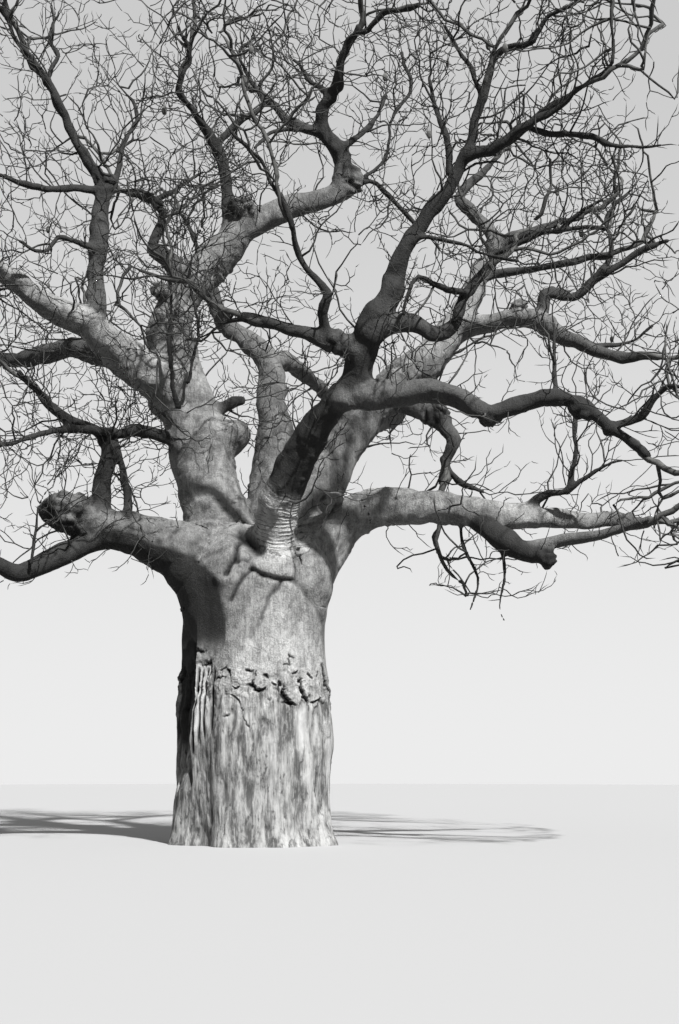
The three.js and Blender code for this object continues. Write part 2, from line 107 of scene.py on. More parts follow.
# The rule of the limbs' rings and of the twigs, the same as that of the solids.
RING_SHARE = 1.5
RING_SHORTEST = 0.34
RING_LONGEST = 0.65
FEWEST_RINGS = 3
LENGTH_STEPS = 201
FOOT_SHARE = 0.86
CROWN_MIDDLE = np.array((0.3, 0.4, 10.6))
CROWN_HALF_WIDTH = 9.2
CROWN_HALF_DEPTH = 8.8
CROWN_RISE = 8.5
CROWN_DROP = 6.0
PLAN_SQUARENESS = 2.6
TOP_SQUARENESS = 3
UNDERSIDE_SQUARENESS = 6
CROWN_HEART = np.array((0.2, 0.4, 6.4))
STEM_SHARE = 0.9
TWIG_BEND = 0.34
TWIG_SPREAD = 1.05
TWIG_WANDER = 0.22
TWIG_LIFT = 0.1
TWIG_SHORTENING = 0.35
TWIG_VARIETY = 0.2
TWIG_CLEARANCE = 0.03
TWIG_TURNS = 3
TWIG_TURN = 0.5
TWIG_PROBE = 0.1
GOLDEN_TURN = math.pi * (3 - math.sqrt(5))
SPACE_FIELDS = ("mass", "free", "limit")
STEEP = 0.9
MASS_AHEAD = 1.2
MASS_REACH = 3.4
TOUCH_GAP = 0.0003
SEED = 1907
DRAW_TURN = 0
DRAW_SPREAD = 10
DRAW_SHARE = 20
DRAW_WANDER = (30, 40, 50)
# Numbers that the draws and the noise are mixed with.
MIX_FIRST = 0x7FEB352D
MIX_SECOND = 0x846CA68B
MIX_TURN = 0x9E3779B9
MIX_CELL = (0x8DA6B343, 0xD8163841, 0xCB1AB31F)
MIX_SEED = 7919
WORD = 0xFFFFFFFF

# Orders of twigs: the first three are those of the solids, the rest are finer. Spread, bend,
# wander and variety shape their growth, kinks is how often each stretch is halved and bent, and
# sides is the corners of a twig's section.
SOURCE_GROWTH = {"spread": TWIG_SPREAD, "bend": TWIG_BEND, "wander": TWIG_WANDER,
                 "variety": TWIG_VARIETY}
TWIG_ORDERS = (
    {"length": 2.9, "steps": 4, "radius": 0.075, "tip": 0.032, "kinks": 2, "sides": 6,
     **SOURCE_GROWTH},
    {"length": 2.3, "steps": 3, "radius": 0.038, "tip": 0.02, "kinks": 2, "sides": 4,
     **SOURCE_GROWTH},
    {"length": 1.6, "steps": 2, "radius": 0.024, "tip": 0.012, "kinks": 2, "sides": 3,
     **SOURCE_GROWTH},
    {"length": 1.25, "steps": 4, "radius": 0.015, "tip": 0.01, "kinks": 1, "sides": 3,
     "spread": 0.8, "bend": 0.2, "wander": 0.4, "variety": 0.45},
    {"length": 0.7, "steps": 3, "radius": 0.011, "tip": 0.008, "kinks": 1, "sides": 3,
     "spread": 0.8, "bend": 0.2, "wander": 0.45, "variety": 0.5},
    {"length": 0.28, "steps": 2, "radius": 0.009, "tip": 0.006, "kinks": 1, "sides": 3,
     "spread": 1.0, "bend": 0.15, "wander": 0.5, "variety": 0.5},
)
# How many of the finer shoots each mass keeps, as a share: less where the photo shows sky.
FULLNESS = {
    "near_top_right": 0.4, "right_top_arm": 0.55, "right_leader_top": 0.6, "near_leader": 0.85,
    "right_arm": 0.7, "right_mid_bough": 0.9, "crown_riser": 0.7, "top_riser": 0.75,
    "top_left_arm": 0.75, "left_hook": 0.6, "left_riser": 0.65, "rear_left_bough": 0.6,
    "rear_right_bough": 0.6, "back_bough": 0.7, "middle_back_bough": 0.6, "right_low_tip": 0.4,
    "right_low_bough": 0.6, "near_right_bough": 0.6, "right_drop_bough": 0.4,
}
USUAL_FULLNESS = 0.9
FINE_ORDER = 3
DRAW_KEPT = 60
# How far inside the crown's limits the finer twigs may end at the most, which makes it ragged.
RAGGED = 0.32
DRAW_LIMIT = 90
# How far the new places of a halved stretch are moved, as a share of it, and their draws.
KINK_SHARE = 0.11
DRAW_KINK = 70
KINK_LEVEL_DRAWS = 300
KINK_STEP_DRAWS = 9
# Side shoots along the limbs and arms. For each kind: the order that it starts with, the step
# from one to the next, and the share of the limb from the foot that bears none.
LIMB_SHOOTS = ((2, 0.8, 0.3), (4, 0.28, 0.12))
ARM_SHOOTS = ((2, 0.8, 0.3), (3, 0.45, 0.15), (4, 0.25, 0.1))
# Limbs whose long shoots don't start downwards, the lowest way that those may take, and the arms
# that bear no long shoots.
CLEAR_BELOW = ("right_low_bough", "right_low_fork", "right_low_tip")
LOWEST_WAY = 0.1
HANGING = ("right_low_hang", "right_low_hang_back")
ROOT_SHARE = 0.8
SHOOT_SEED = 52001
TIP_SEED = 156003
SHOOT_LEAN = 0.45
SHOOT_LIFT = 0.35
# Seeds of the side shoots step on from limb to limb, from kind to kind and from shoot to shoot.
# Their places are uneven by a share of the step, and their lengths lie between two shares.
LIMB_SEEDS = 997
KIND_SEEDS = 1000
PLACE_SEEDS = 31
FIRST_ARM = 100
SHOOT_UNEVEN = 0.45
SHOOT_LEAST = 0.7
SHOOT_VARIETY = 0.6
DRAW_SHOOT_PLACE = 1
DRAW_SHOOT_SHARE = 2

# Each limb: its parent, its thickness from foot to tip at even steps, and the places that its
# middle runs through, as in the solids. Bare limbs bear no twigs at their tips.
Limb = collections.namedtuple("Limb", "parent across through")
BARE_LIMBS = ("left_leader", "right_leader", "near_bough", "left_low_bough",
              "left_leader_top", "right_low_fork")
LIMBS = {
    "left_leader": Limb("trunk", (1.3, 1.36, 1.25, 1.06, 0.9, 0.9), (
        (-0.65, 0.2, 5.3), (-0.95, 0.3, 6.75), (-1.25, 0.4, 7.85), (-1.5, 0.5, 8.7),
        (-1.8, 0.6, 9.7), (-1.95, 0.7, 10.5), (-1.85, 0.8, 11.2), (-1.5, 0.9, 11.85))),
    "right_leader": Limb("trunk", (1.14, 1.02, 0.9, 0.78, 0.62, 0.46), (
        (0.5, 0.4, 5.65), (1.2, 0.9, 7.4), (1.7, 1.3, 8.35), (2.4, 1.7, 9.2), (3.15, 2.1, 10.05),
        (3.8, 2.5, 10.7), (4.4, 2.9, 11.55), (4.75, 3.2, 12.3), (4.95, 3.4, 12.95))),
    "near_bough": Limb("trunk", (1.08, 0.84, 0.74, 0.64, 0.52, 0.44), (
        (0.25, -0.4, 4.75), (0.4, -0.9, 5.75), (0.45, -1.3, 6.5), (0.65, -1.5, 6.95),
        (0.85, -1.8, 7.35), (1.15, -2.1, 7.8), (1.5, -2.4, 8.2), (1.9, -2.7, 8.55),
        (2.05, -2.9, 9.05), (2.2, -3.1, 9.4), (2.3, -3.2, 9.7))),
    "left_low_bough": Limb("trunk", (1.55, 1.1, 0.84, 0.72, 0.6), (
        (-0.5, -0.1, 4.9), (-1.35, -0.3, 5.6), (-2.2, -0.5, 5.95), (-2.9, -0.8, 6.1),
        (-3.9, -1.1, 6.4))),
    "right_low_bough": Limb("trunk", (1.48, 0.92, 0.76, 0.58, 0.4, 0.25), (
        (0.6, -0.1, 5.05), (1.55, -0.1, 6.15), (2.25, -0.1, 6.6), (3.55, -0.3, 6.6),
        (4.85, -0.5, 6.4), (6.1, -0.2, 6.4), (7.5, 0.3, 6.45))),
    "middle_back_bough": Limb("trunk", (0.95, 0.9, 0.66, 0.46, 0.36, 0.28), (
        (0.05, 0.5, 5.65), (0.25, 1.1, 8.65), (0.15, 1.3, 9.3), (0.15, 1.6, 9.8), (0, 1.8, 10.35),
        (-0.5, 2.1, 10.9), (-0.95, 2.6, 11.4), (-1.2, 3.2, 11.9), (-1.7, 4.4, 13.4))),
    "left_leader_top": Limb("left_leader", (0.9, 0.68, 0.46, 0.44), (
        (-1.6, 0.9, 11.7), (-0.9, 0.9, 12.45), (-0.45, 1, 13), (0.2, 1.1, 13.4), (1, 1.2, 13.7),
        (1.6, 1.3, 13.95), (1.85, 1.4, 14.3))),
    "left_mid_bough": Limb("left_leader", (1.1, 0.76, 0.54, 0.46, 0.26), (
        (-1.6, 0.5, 9.1), (-2.8, -0.2, 9.8), (-3.5, -0.6, 10.3), (-4.2, -1, 10.6),
        (-4.65, -1.3, 10.9), (-5.8, -2.1, 11.55), (-6.4, -2.8, 11.9))),
    "left_riser": Limb("left_mid_bough", (0.46, 0.36, 0.3, 0.18, 0.14), (
        (-3.35, -0.5, 10.3), (-3.35, -0.6, 11.1), (-3.25, -0.9, 12.8), (-3.2, -1, 13.2),
        (-3.75, -1.2, 14.05), (-3.95, -1.3, 14.55), (-4.4, -1.5, 15.3))),
    "left_back_bough": Limb("left_mid_bough", (0.56, 0.5, 0.4, 0.26), (
        (-2.85, 0, 9.85), (-3.6, 0.9, 10.2), (-4.5, 1.9, 10.55), (-5.9, 3.3, 10.7),
        (-6.6, 4, 10.95))),
    "left_low_fork": Limb("left_low_bough", (0.48, 0.46, 0.34, 0.16), (
        (-2.7, -0.7, 6.05), (-3.3, -0.9, 5.8), (-4.1, -1.4, 5.3), (-4.5, -1.6, 5.1),
        (-4.9, -1.9, 5.3), (-5.4, -2.3, 5.7))),
    "left_low_riser": Limb("left_low_bough", (0.4, 0.34, 0.24, 0.14), (
        (-3.1, -0.9, 6.2), (-3.1, -0.8, 6.9), (-2.95, -0.7, 7.7), (-3.15, -0.7, 8.05),
        (-3.9, -0.9, 8.4), (-4.4, -1.0, 8.8))),
    "left_hook": Limb("left_leader", (0.52, 0.4, 0.22, 0.17, 0.14), (
        (-1.7, 0.85, 11.55), (-2.05, 1.2, 12.3), (-2.55, 1.6, 12.75), (-2.4, 2.1, 13.6),
        (-2.65, 2.6, 14.3), (-3.1, 3.0, 14.6))),
    "crown_riser": Limb("left_leader_top", (0.44, 0.28, 0.24, 0.17, 0.11), (
        (-0.65, 0.95, 12.8), (-0.8, 0.9, 13.5), (-0.95, 0.8, 14.5), (-1.4, 0.6, 15.35),
        (-1.9, 0.4, 15.85), (-1.8, 0.3, 16.2))),
    "top_riser": Limb("left_leader_top", (0.45, 0.34, 0.24, 0.16), (
        (1.65, 1.3, 14.1), (1.7, 1.3, 14.7), (1.3, 1.1, 15.3), (1.3, 0.9, 15.8), (1.6, 0.6, 16.5),
        (1.8, 0.4, 16.9))),
    "top_left_arm": Limb("top_riser", (0.26, 0.24, 0.16), (
        (1.25, 1.1, 15.35), (0.8, 1.2, 15.45), (0.5, 1.4, 15.7), (0.2, 1.6, 16.1))),
    "near_leader": Limb("near_bough", (0.46, 0.3, 0.22, 0.13), (
        (2.2, -3.15, 9.4), (2.55, -3.3, 10.0), (2.75, -3.4, 10.75), (3.2, -3.5, 11.45),
        (3.7, -3.6, 12.2), (4.05, -3.7, 12.85), (4.35, -3.9, 13.9))),
    "near_right_bough": Limb("near_bough", (0.64, 0.5, 0.44, 0.3, 0.25, 0.15), (
        (1.65, -2.55, 8.3), (2.4, -2.9, 8.3), (3.5, -3.3, 8.2), (4.4, -3.6, 7.75),
        (5.3, -3.8, 7.95), (5.85, -4.0, 7.85), (6.6, -4.3, 7.15))),
    "near_inner_arm": Limb("near_bough", (0.4, 0.3, 0.2, 0.16), (
        (2.2, -3.15, 9.45), (2.95, -3.2, 9.55), (3.4, -3.1, 9.4), (3.75, -3.0, 9.65),
        (3.9, -2.8, 10.15), (4.15, -2.6, 10.5))),
    "near_left_arm": Limb("near_bough", (0.4, 0.26, 0.18), (
        (1.95, -3.0, 9.05), (1.55, -3.0, 9.2), (0.8, -2.8, 9.55), (0.25, -2.7, 9.75))),
    "near_left_riser": Limb("near_left_arm", (0.22, 0.15, 0.11), (
        (1.45, -2.95, 9.3), (1.3, -3.1, 9.7), (1.4, -3.3, 10.1), (1.0, -3.5, 10.65),
        (0.75, -3.8, 11.3))),
    "near_top_right": Limb("near_leader", (0.2, 0.16, 0.11), (
        (3.9, -3.65, 12.55), (4.4, -3.9, 12.6), (5.25, -4.5, 13.05), (5.9, -5.0, 13.3))),
    "right_leader_top": Limb("right_leader", (0.44, 0.36, 0.26, 0.2), (
        (4.9, 3.35, 12.8), (5.35, 3.7, 13.75), (4.8, 4.1, 14.65), (4.55, 4.3, 15.1),
        (5.1, 4.6, 15.8))),
    "right_top_arm": Limb("right_leader_top", (0.28, 0.22, 0.15), (
        (5.25, 3.65, 13.55), (5.9, 3.6, 13.8), (6.9, 3.6, 14.2))),
    "right_arm": Limb("right_leader", (0.24, 0.18, 0.14), (
        (4.85, 3.3, 12.6), (5.4, 3.2, 12.8), (6.7, 2.8, 12.8), (7.4, 2.6, 12.95))),
    "right_mid_bough": Limb("right_leader", (0.5, 0.42, 0.4, 0.3, 0.2), (
        (4.2, 2.8, 11.3), (4.95, 2.5, 11.35), (5.7, 2.2, 11.35), (6.8, 1.6, 10.7),
        (7.4, 1.3, 10.3), (8.0, 1.0, 10.15))),
    "right_drop_bough": Limb("right_leader", (0.52, 0.44, 0.32, 0.18), (
        (2.55, 1.8, 9.45), (3.15, 1.6, 9.15), (3.7, 1.4, 8.85), (4.05, 1.2, 8.4), (3.9, 1.05, 7.8))),
    "right_low_fork": Limb("right_low_bough", (0.44, 0.46, 0.3), (
        (4.35, -0.5, 6.4), (4.8, -0.9, 5.9), (5.15, -1.2, 5.6), (5.6, -1.5, 5.4))),
    "right_low_tip": Limb("right_low_fork", (0.28, 0.24, 0.16), (
        (5.2, -1.25, 5.6), (5.9, -1.5, 5.75), (6.6, -1.9, 5.8), (7.0, -2.2, 5.9))),
    "back_bough": Limb("middle_back_bough", (0.44, 0.38, 0.28), (
        (0.1, 1.85, 10.2), (0.5, 3.2, 10.65), (0.9, 4.6, 10.6), (1.2, 5.7, 10.6))),
    "rear_left_bough": Limb("left_leader", (0.7, 0.5, 0.3), (
        (-1.4, 0.6, 8.4), (-2.4, 2.6, 9.6), (-3.4, 4.4, 10.9), (-4.2, 5.7, 12.1))),
    "rear_right_bough": Limb("right_leader", (0.6, 0.46, 0.28), (
        (1.8, 1.4, 8.5), (2.7, 3.2, 9.3), (3.3, 4.8, 10.2), (4.2, 6.2, 11.4))),
}

# Thin arms on the limbs that end among the twigs: thickness at the foot and at the tip, and the
# places that the middle runs through.
ARMS = {
    "left_tip_shoot": ((0.2, 0.12), (
        (-3.11, -1.0, 6.47), (-2.92, -0.9, 7.56), (-2.94, -0.9, 8.07))),
    "left_knob_shoot": ((0.18, 0.1), (
        (-2.54, -0.9, 6.3), (-2.69, -0.8, 7.28), (-2.79, -0.8, 7.89))),
    "left_cluster_out": ((0.2, 0.08), (
        (-2.9, -0.9, 8.03), (-3.68, -1.2, 8.0), (-4.35, -1.7, 7.72), (-4.8, -2.2, 7.47))),
    "left_cluster_up": ((0.16, 0.08), (
        (-3.64, -1.2, 8.0), (-3.82, -1.3, 8.28), (-4.27, -1.8, 8.75), (-4.47, -2.2, 8.9))),
    "left_bridge": ((0.26, 0.2), (
        (-1.85, 0.1, 8.1), (-2.3, -0.3, 8.15), (-2.7, -0.6, 8.05), (-3.0, -0.75, 7.95))),
    "left_fork_sprout": ((0.07, 0.04), (
        (-4.21, -1.8, 5.25), (-4.16, -1.8, 5.91), (-4.12, -1.8, 6.39), (-3.98, -1.7, 6.7))),
    "riser_left_high": ((0.16, 0.08), (
        (-3.3, -0.95, 13.07), (-3.78, -1.3, 12.99), (-4.14, -1.7, 12.8), (-4.97, -2.4, 12.8))),
    "riser_left_low": ((0.14, 0.07), (
        (-3.3, -0.8, 11.86), (-3.91, -1.2, 11.97), (-4.21, -1.6, 11.57), (-4.58, -2.2, 11.55))),
    "riser_right": ((0.13, 0.06), (
        (-3.29, -0.85, 12.68), (-3.09, -0.5, 13.39), (-2.93, -0.1, 14.57), (-2.76, 0.1, 15.17),
        (-3.15, 0.4, 16.19))),
    "riser_top": ((0.14, 0.07), (
        (-4.0, -1.35, 14.6), (-4.45, -1.8, 15.34), (-4.84, -2.2, 15.84), (-4.95, -2.6, 16.37))),
    "riser_far_left": ((0.1, 0.06), (
        (-4.9, -2.4, 16.1), (-5.35, -2.7, 16.5), (-5.5, -2.8, 17.1), (-5.95, -3.0, 17.4))),
    "riser_up": ((0.12, 0.06), (
        (-4.35, -1.5, 15.2), (-4.2, -1.2, 15.9), (-4.45, -0.9, 16.5), (-4.3, -0.6, 17.2))),
    "top_fork_right": ((0.17, 0.08), (
        (1.55, 0.65, 16.2), (1.71, 0.2, 16.74), (1.86, 0.0, 16.96), (2.18, -0.2, 16.99),
        (2.66, -0.5, 17.29), (3.28, -0.9, 17.22))),
    "top_fork_left": ((0.14, 0.07), (
        (1.45, 0.8, 15.96), (1.2, 0.8, 16.2), (0.97, 1.0, 16.49), (0.65, 1.4, 17.18))),
    "top_arm_right": ((0.16, 0.08), (
        (1.5, 1.1, 14.9), (1.98, 1.3, 15.26), (2.27, 1.5, 15.66), (2.51, 1.8, 16.17),
        (2.65, 2.0, 16.61))),
    "blunt_arm_right": ((0.14, 0.09), (
        (1.8, 1.4, 14.15), (2.43, 1.8, 14.36), (2.89, 2.1, 14.06), (3.42, 2.4, 13.58))),
    "top_arm_low_left": ((0.13, 0.07), (
        (1.24, 1.1, 15.31), (0.76, 0.9, 15.26), (0.12, 0.6, 15.01), (-0.19, 0.4, 14.57))),
    "hook_arm": ((0.13, 0.07), ((-2.4, 2.05, 13.97), (-2.94, 2.3, 14.4), (-3.69, 2.7, 14.5))),
    "hook_arm_right": ((0.12, 0.06), (
        (-2.45, 2.1, 14.13), (-1.84, 2.3, 14.62), (-1.48, 2.5, 14.97))),
    "crown_left": ((0.14, 0.06), (
        (-1.15, 0.7, 14.94), (-1.45, 0.3, 15.33), (-1.83, 0.0, 15.64), (-1.71, -0.2, 16.0),
        (-1.56, -0.3, 16.41), (-1.76, -0.5, 16.99))),
    "crown_right": ((0.14, 0.06), (
        (-1.06, 0.75, 14.8), (-0.61, 0.9, 15.45), (-0.1, 1.2, 16.0), (-0.39, 1.5, 16.75),
        (-0.64, 1.7, 17.58), (-0.32, 1.9, 18.0))),
    "near_right_up": ((0.18, 0.08), (
        (6.4, -4.2, 7.3), (6.9, -4.2, 7.53), (7.13, -4.4, 7.82), (7.25, -4.6, 7.93),
        (7.54, -4.9, 7.87))),
    "near_right_shoot": ((0.1, 0.06), ((5.5, -3.8, 7.9), (5.5, -3.7, 8.61), (5.51, -3.6, 9.39))),
    "leader_right_branch": ((0.18, 0.07), (
        (3.95, -3.7, 12.65), (4.44, -3.8, 12.67), (4.94, -4.0, 12.95), (5.42, -4.3, 13.31),
        (5.87, -4.6, 13.42), (6.27, -4.9, 13.59))),
    "leader_branch_up": ((0.1, 0.06), (
        (6.2, -4.85, 13.56), (6.42, -5.05, 13.8), (6.46, -5.1, 14.17))),
    "leader_right_low": ((0.11, 0.06), (
        (5.0, -4.2, 12.95), (5.95, -4.5, 12.64), (6.6, -4.8, 12.29), (7.27, -5.1, 12.18))),
    "leader_top": ((0.13, 0.07), (
        (4.3, -3.85, 13.67), (4.42, -3.9, 14.12), (4.64, -4.0, 14.53), (5.14, -4.2, 14.62),
        (5.45, -4.4, 15.0), (5.9, -4.7, 15.13))),
    "inner_droop": ((0.12, 0.06), (
        (4.0, -2.85, 10.25), (3.47, -3.5, 10.09), (3.06, -3.7, 10.25), (2.81, -3.9, 9.49))),
    "inner_thin": ((0.1, 0.06), (
        (2.95, -3.45, 11.1), (3.65, -3.7, 11.04), (4.2, -4.0, 10.62), (4.76, -4.3, 10.38))),
    "near_left_on": ((0.14, 0.07), ((0.3, -2.7, 9.72), (-0.16, -2.6, 9.85), (-0.74, -2.4, 9.83))),
    "near_riser_on": ((0.1, 0.06), (
        (0.75, -3.8, 11.2), (0.6, -3.9, 11.58), (0.33, -4.0, 12.02), (0.22, -4.1, 12.26),
        (-0.35, -4.3, 12.85))),
    "right_leader_arm": ((0.18, 0.09), (
        (5.15, 3.5, 13.3), (6.37, 2.7, 13.59), (7.13, 2.4, 13.58), (7.66, 2.2, 13.55))),
    "right_leader_arm_up": ((0.12, 0.06), (
        (6.7, 2.6, 13.58), (7.07, 2.3, 13.9), (7.64, 2.0, 14.14))),
    "right_mid_offshoot": ((0.12, 0.07), (
        (7.2, 1.45, 10.5), (8.23, 1.6, 10.73), (8.46, 1.4, 10.96))),
    "drop_arm": ((0.16, 0.08), ((3.85, 1.1, 7.85), (4.21, 0.9, 7.28), (4.71, 0.7, 7.16))),
    "right_low_riser": ((0.18, 0.06), (
        (5.3, -0.4, 6.4), (5.73, -0.6, 6.81), (6.12, -0.8, 6.87), (6.28, -0.9, 7.36),
        (6.3, -0.9, 8.07), (6.35, -0.9, 8.52))),
    "right_low_riser_fork": ((0.12, 0.06), (
        (6.14, -0.8, 6.85), (6.53, -1.0, 7.12), (6.79, -1.1, 7.3), (7.15, -1.3, 7.33))),
    "right_low_hang": ((0.09, 0.05), (
        (4.05, -0.3, 6.3), (4.14, -0.4, 5.73), (4.38, -0.5, 5.11), (4.2, -0.6, 4.5))),
    "leader_shoot_left": ((0.08, 0.04), (
        (-1.6, -0.5, 8.62), (-1.82, -0.7, 9.78), (-1.75, -0.8, 11.01), (-2.01, -0.9, 12.15),
        (-1.91, -1.0, 12.9))),
    "leader_shoot_right": ((0.07, 0.04), (
        (-1.46, -0.4, 9.13), (-1.27, -0.6, 10.23), (-1.45, -0.7, 11.43), (-1.19, -0.8, 12.46))),
    "leader_stub": ((0.34, 0.2), ((-1.17, 0.5, 8.72), (-0.74, 0.4, 8.93), (-0.45, 0.35, 8.98))),
    "leader_left_up": ((0.12, 0.05), (
        (3.67, -3.5, 12.39), (3.66, -3.5, 13.1), (3.43, -3.4, 13.73), (3.33, -3.3, 14.49),
        (3.31, -3.2, 15.11))),
    "leader_top_left": ((0.1, 0.05), (
        (4.3, -3.8, 13.71), (4.05, -3.9, 14.3), (3.77, -4.0, 14.67), (3.49, -4.1, 15.15))),
    "mid_riser": ((0.3, 0.1), (
        (6.15, 2.2, 11.42), (6.27, 2.1, 11.92), (6.86, 1.9, 11.72), (7.46, 1.7, 12.18),
        (8.28, 1.5, 12.69), (8.88, 1.4, 12.86))),
    "mid_riser_up": ((0.12, 0.06), (
        (7.41, 1.7, 12.16), (7.74, 1.9, 12.98), (7.72, 2.1, 13.77), (8.28, 2.3, 14.45))),
    "top_mid_shoot": ((0.12, 0.06), (
        (1.91, 1.6, 14.16), (2.66, 1.8, 14.96), (2.83, 2.0, 16.02), (3.31, 2.2, 16.98),
        (3.09, 2.4, 17.9))),
    "right_low_hang_back": ((0.08, 0.04), (
        (4.78, -0.9, 5.9), (4.85, -1.0, 5.15), (4.73, -1.1, 4.45), (5.0, -1.2, 3.9))),
}

# Swellings of the skin: a middle and a radius. Knobs are stubs and healed knots with a gnarled
# skin, and lobes are smooth and muscle-like.
KNOBS = (
    ((1.48, -0.62, 6.66), 0.17), ((4.36, -3.45, 7.72), 0.2), ((5.62, 2.25, 11.65), 0.2),
    ((-0.5, 0.75, 13.4), 0.3), ((-2.2, 0.45, 11.45), 0.2), ((1.62, -2.95, 9.2), 0.24),
    ((-3.2, -1.0, 13.25), 0.19), ((7.5, 0.25, 6.4), 0.17), ((-3.72, -1.08, 6.43), 0.37),
    ((5.6, -1.5, 5.42), 0.19), ((3.7, 1.4, 8.95), 0.26), ((-2.95, -0.75, 8.0), 0.2),
    ((1.85, 1.35, 14.3), 0.32), ((5.9, -4.0, 7.75), 0.2), ((-2.5, 1.6, 12.75), 0.17),
    ((-3.98, -1.2, 6.28), 0.2), ((-3.7, -1.35, 6.6), 0.17), ((-3.95, -1.3, 6.55), 0.14),
    ((-3.6, -1.3, 6.2), 0.18), ((-3.45, -0.95, 6.68), 0.15), ((-3.4, -1.35, 6.42), 0.13),
    ((-0.21, -1.3, 5.31), 0.1),
)
LOBES = (
    ((0.9, -0.74, 5.6), 0.36), ((1.02, -0.72, 5.2), 0.41), ((1.08, -0.56, 4.9), 0.39),
    ((0.96, -0.52, 4.4), 0.37), ((0.92, -0.5, 3.95), 0.35), ((0.4, -1.0, 5.3), 0.42),
    ((-0.6, -0.8, 5.3), 0.42), ((-0.6, 0.42, 8.24), 0.36), ((-1.44, -0.3, 5.3), 0.38),
    ((-1.12, -0.3, 4.88), 0.38), ((-1.95, -0.45, 5.74), 0.38),
)
# How wide a swelling's fillet is, and how far round a knot the skin is gnarled.
SWELLING_BLEND = 0.6
GNARL_REACH = 0.16
# Furrows on the knots: how wide as a share of the noise, how deep, and how dark their painted shade
# is.
FURROW_WIDTH = 0.15
FURROW_DEPTH = 0.05
FURROW_SHADE = 0.65

# Skin of trunk, fork and boughs.
FORK_CUT = 4.25
TRUNK_ROWS = 190
TRUNK_COLUMNS = 480
# The trunk's grid is crowded towards its front, and towards the torn band by the row crowding,
# whose phase is the share of the height that sets where the band lies.
FRONT_CROWDING = 0.35
ROW_CROWDING = 0.5
ROW_PHASE = 0.12
TRUNK_OVERLAP = 0.005
TRUNK_PROJECTIONS = 3
# The raw skin of the fork and boughs: steps along its tubes, their corners, the fewest steps on a
# limb and on an arm, the run into a twig's stem, and the plain core of the trunk under the fork.
TUBE_STEP = 0.16
TUBE_CORNERS = 5
LIMB_STEPS = 8
ARM_STEPS = 5
STEM_RUN = 0.5
STEM_STEPS = 5
STEM_TAPER = 0.9
CORE_COLUMNS = 72
CORE_SHARE = 0.93
CORE_DEPTH = 0.5
# How the raw skin is smoothed and moved on to the limbs, and how wide the fillets between them are.
SMOOTH_PASSES = 3
PROJECTIONS = 2
FARTHEST_MOVE = 0.12
SMALL_GAP = 1e-4
CURVE_STEPS = 400
BLEND_SHARE = 0.5
BLEND_LEAST = 0.05
FAR = 1.5
# How limbs and twigs run crooked: the size of the bends and how far they move aside, and the
# heights between which this fades in over the trunk.
CROOK_WIDE = 0.6
CROOK_WIDE_MOVE = 0.07
CROOK_FINE = 0.22
CROOK_FINE_MOVE = 0.028
CROOK_FADE = (5.2, 6.8)
CROOK_WIDE_SEED = 41
CROOK_FINE_SEED = 44
# How many places are worked out at once, for the skin and for the twigs.
CHUNK = 20000
SMALL_CHUNK = 2500

# Where the skin of each main bough is parted from the fork's, in metres along the bough, and the
# piece that each limb belongs to beyond that.
FORK_REACH = {
    "left_leader": 2.1, "right_leader": 2.2, "near_bough": 2.3,
    "left_low_bough": 1.95, "right_low_bough": 2.2, "middle_back_bough": 2.2,
}
BOUGH_PIECES = {
    "left_boughs_bark": (
        "left_leader", "left_leader_top", "left_mid_bough", "left_riser", "left_back_bough",
        "left_low_bough", "left_low_fork", "left_low_riser", "left_hook", "crown_riser",
        "top_riser", "top_left_arm", "rear_left_bough"),
    "right_boughs_bark": (
        "right_leader", "right_low_bough", "middle_back_bough", "right_leader_top",
        "right_top_arm", "right_arm", "right_mid_bough", "right_drop_bough", "right_low_fork",
        "right_low_tip", "back_bough", "rear_right_bough"),
    "near_boughs_bark": (
        "near_bough", "near_leader", "near_right_bough", "near_inner_arm", "near_left_arm",
        "near_left_riser", "near_top_right"),
}
# How dark the bark of each limb is made: 1 is the palest, and the trunk's.
LIMB_TONES = {
    "left_leader": 0.7, "right_leader": 0.68, "near_bough": 0.32, "left_low_bough": 0.6,
    "right_low_bough": 0.85, "middle_back_bough": 0.6, "left_leader_top": 0.66,
    "left_mid_bough": 0.82, "left_riser": 0.6, "left_back_bough": 0.5, "left_low_fork": 0.42,
    "left_low_riser": 0.5, "left_hook": 0.5, "crown_riser": 0.55, "top_riser": 0.55,
    "near_leader": 0.48, "near_right_bough": 0.54, "near_inner_arm": 0.62, "near_left_arm": 0.62,
    "near_left_riser": 0.6, "near_top_right": 0.52, "right_drop_bough": 0.66,
    "right_low_fork": 0.36, "right_low_tip": 0.9,
}
USUAL_TONE = 0.72
ARM_TONE = 0.62
THIN_TONE = 0.55
THIN_RADII = (0.06, 0.3)
TONE_PASSES = 12
PAINTED_SHADE_PASSES = 2
# Painted shade on the dark side of the low left bough and of the trunk under it: its upper edge
# across and up, the way that it faces, how far a face must turn that way at the left and at the
# right, how dark it is, the levels where it fades in on the trunk, and where it fades out behind.
# The trunk also gets a weaker painted shade beside it and at its right side.
PAINTED_SHADE_LIMBS = ("left_low_bough", "left_low_fork")
PAINTED_SHADE_EDGE = ((-3.2, 6.8), (-2.6, 5.98), (-1.97, 5.7), (-1.29, 5.49), (-0.91, 5.2), (-0.72, 4.98),
             (-0.62, 4.4))
PAINTED_SHADE_BLUR = 0.1
PAINTED_SHADE_WAY = (-0.7, 0, -0.7)
PAINTED_SHADE_TURNS = (0.1, -0.35)
PAINTED_SHADE_TURN_ENDS = (-3.0, -2.3)
PAINTED_SHADE_TURN_STEP = 0.15
PAINTED_SHADE_SHARE = 0.66
PAINTED_SHADE_LEVEL = (3.3, 4.1)
PAINTED_SHADE_BEHIND = (0.6, 1.4)
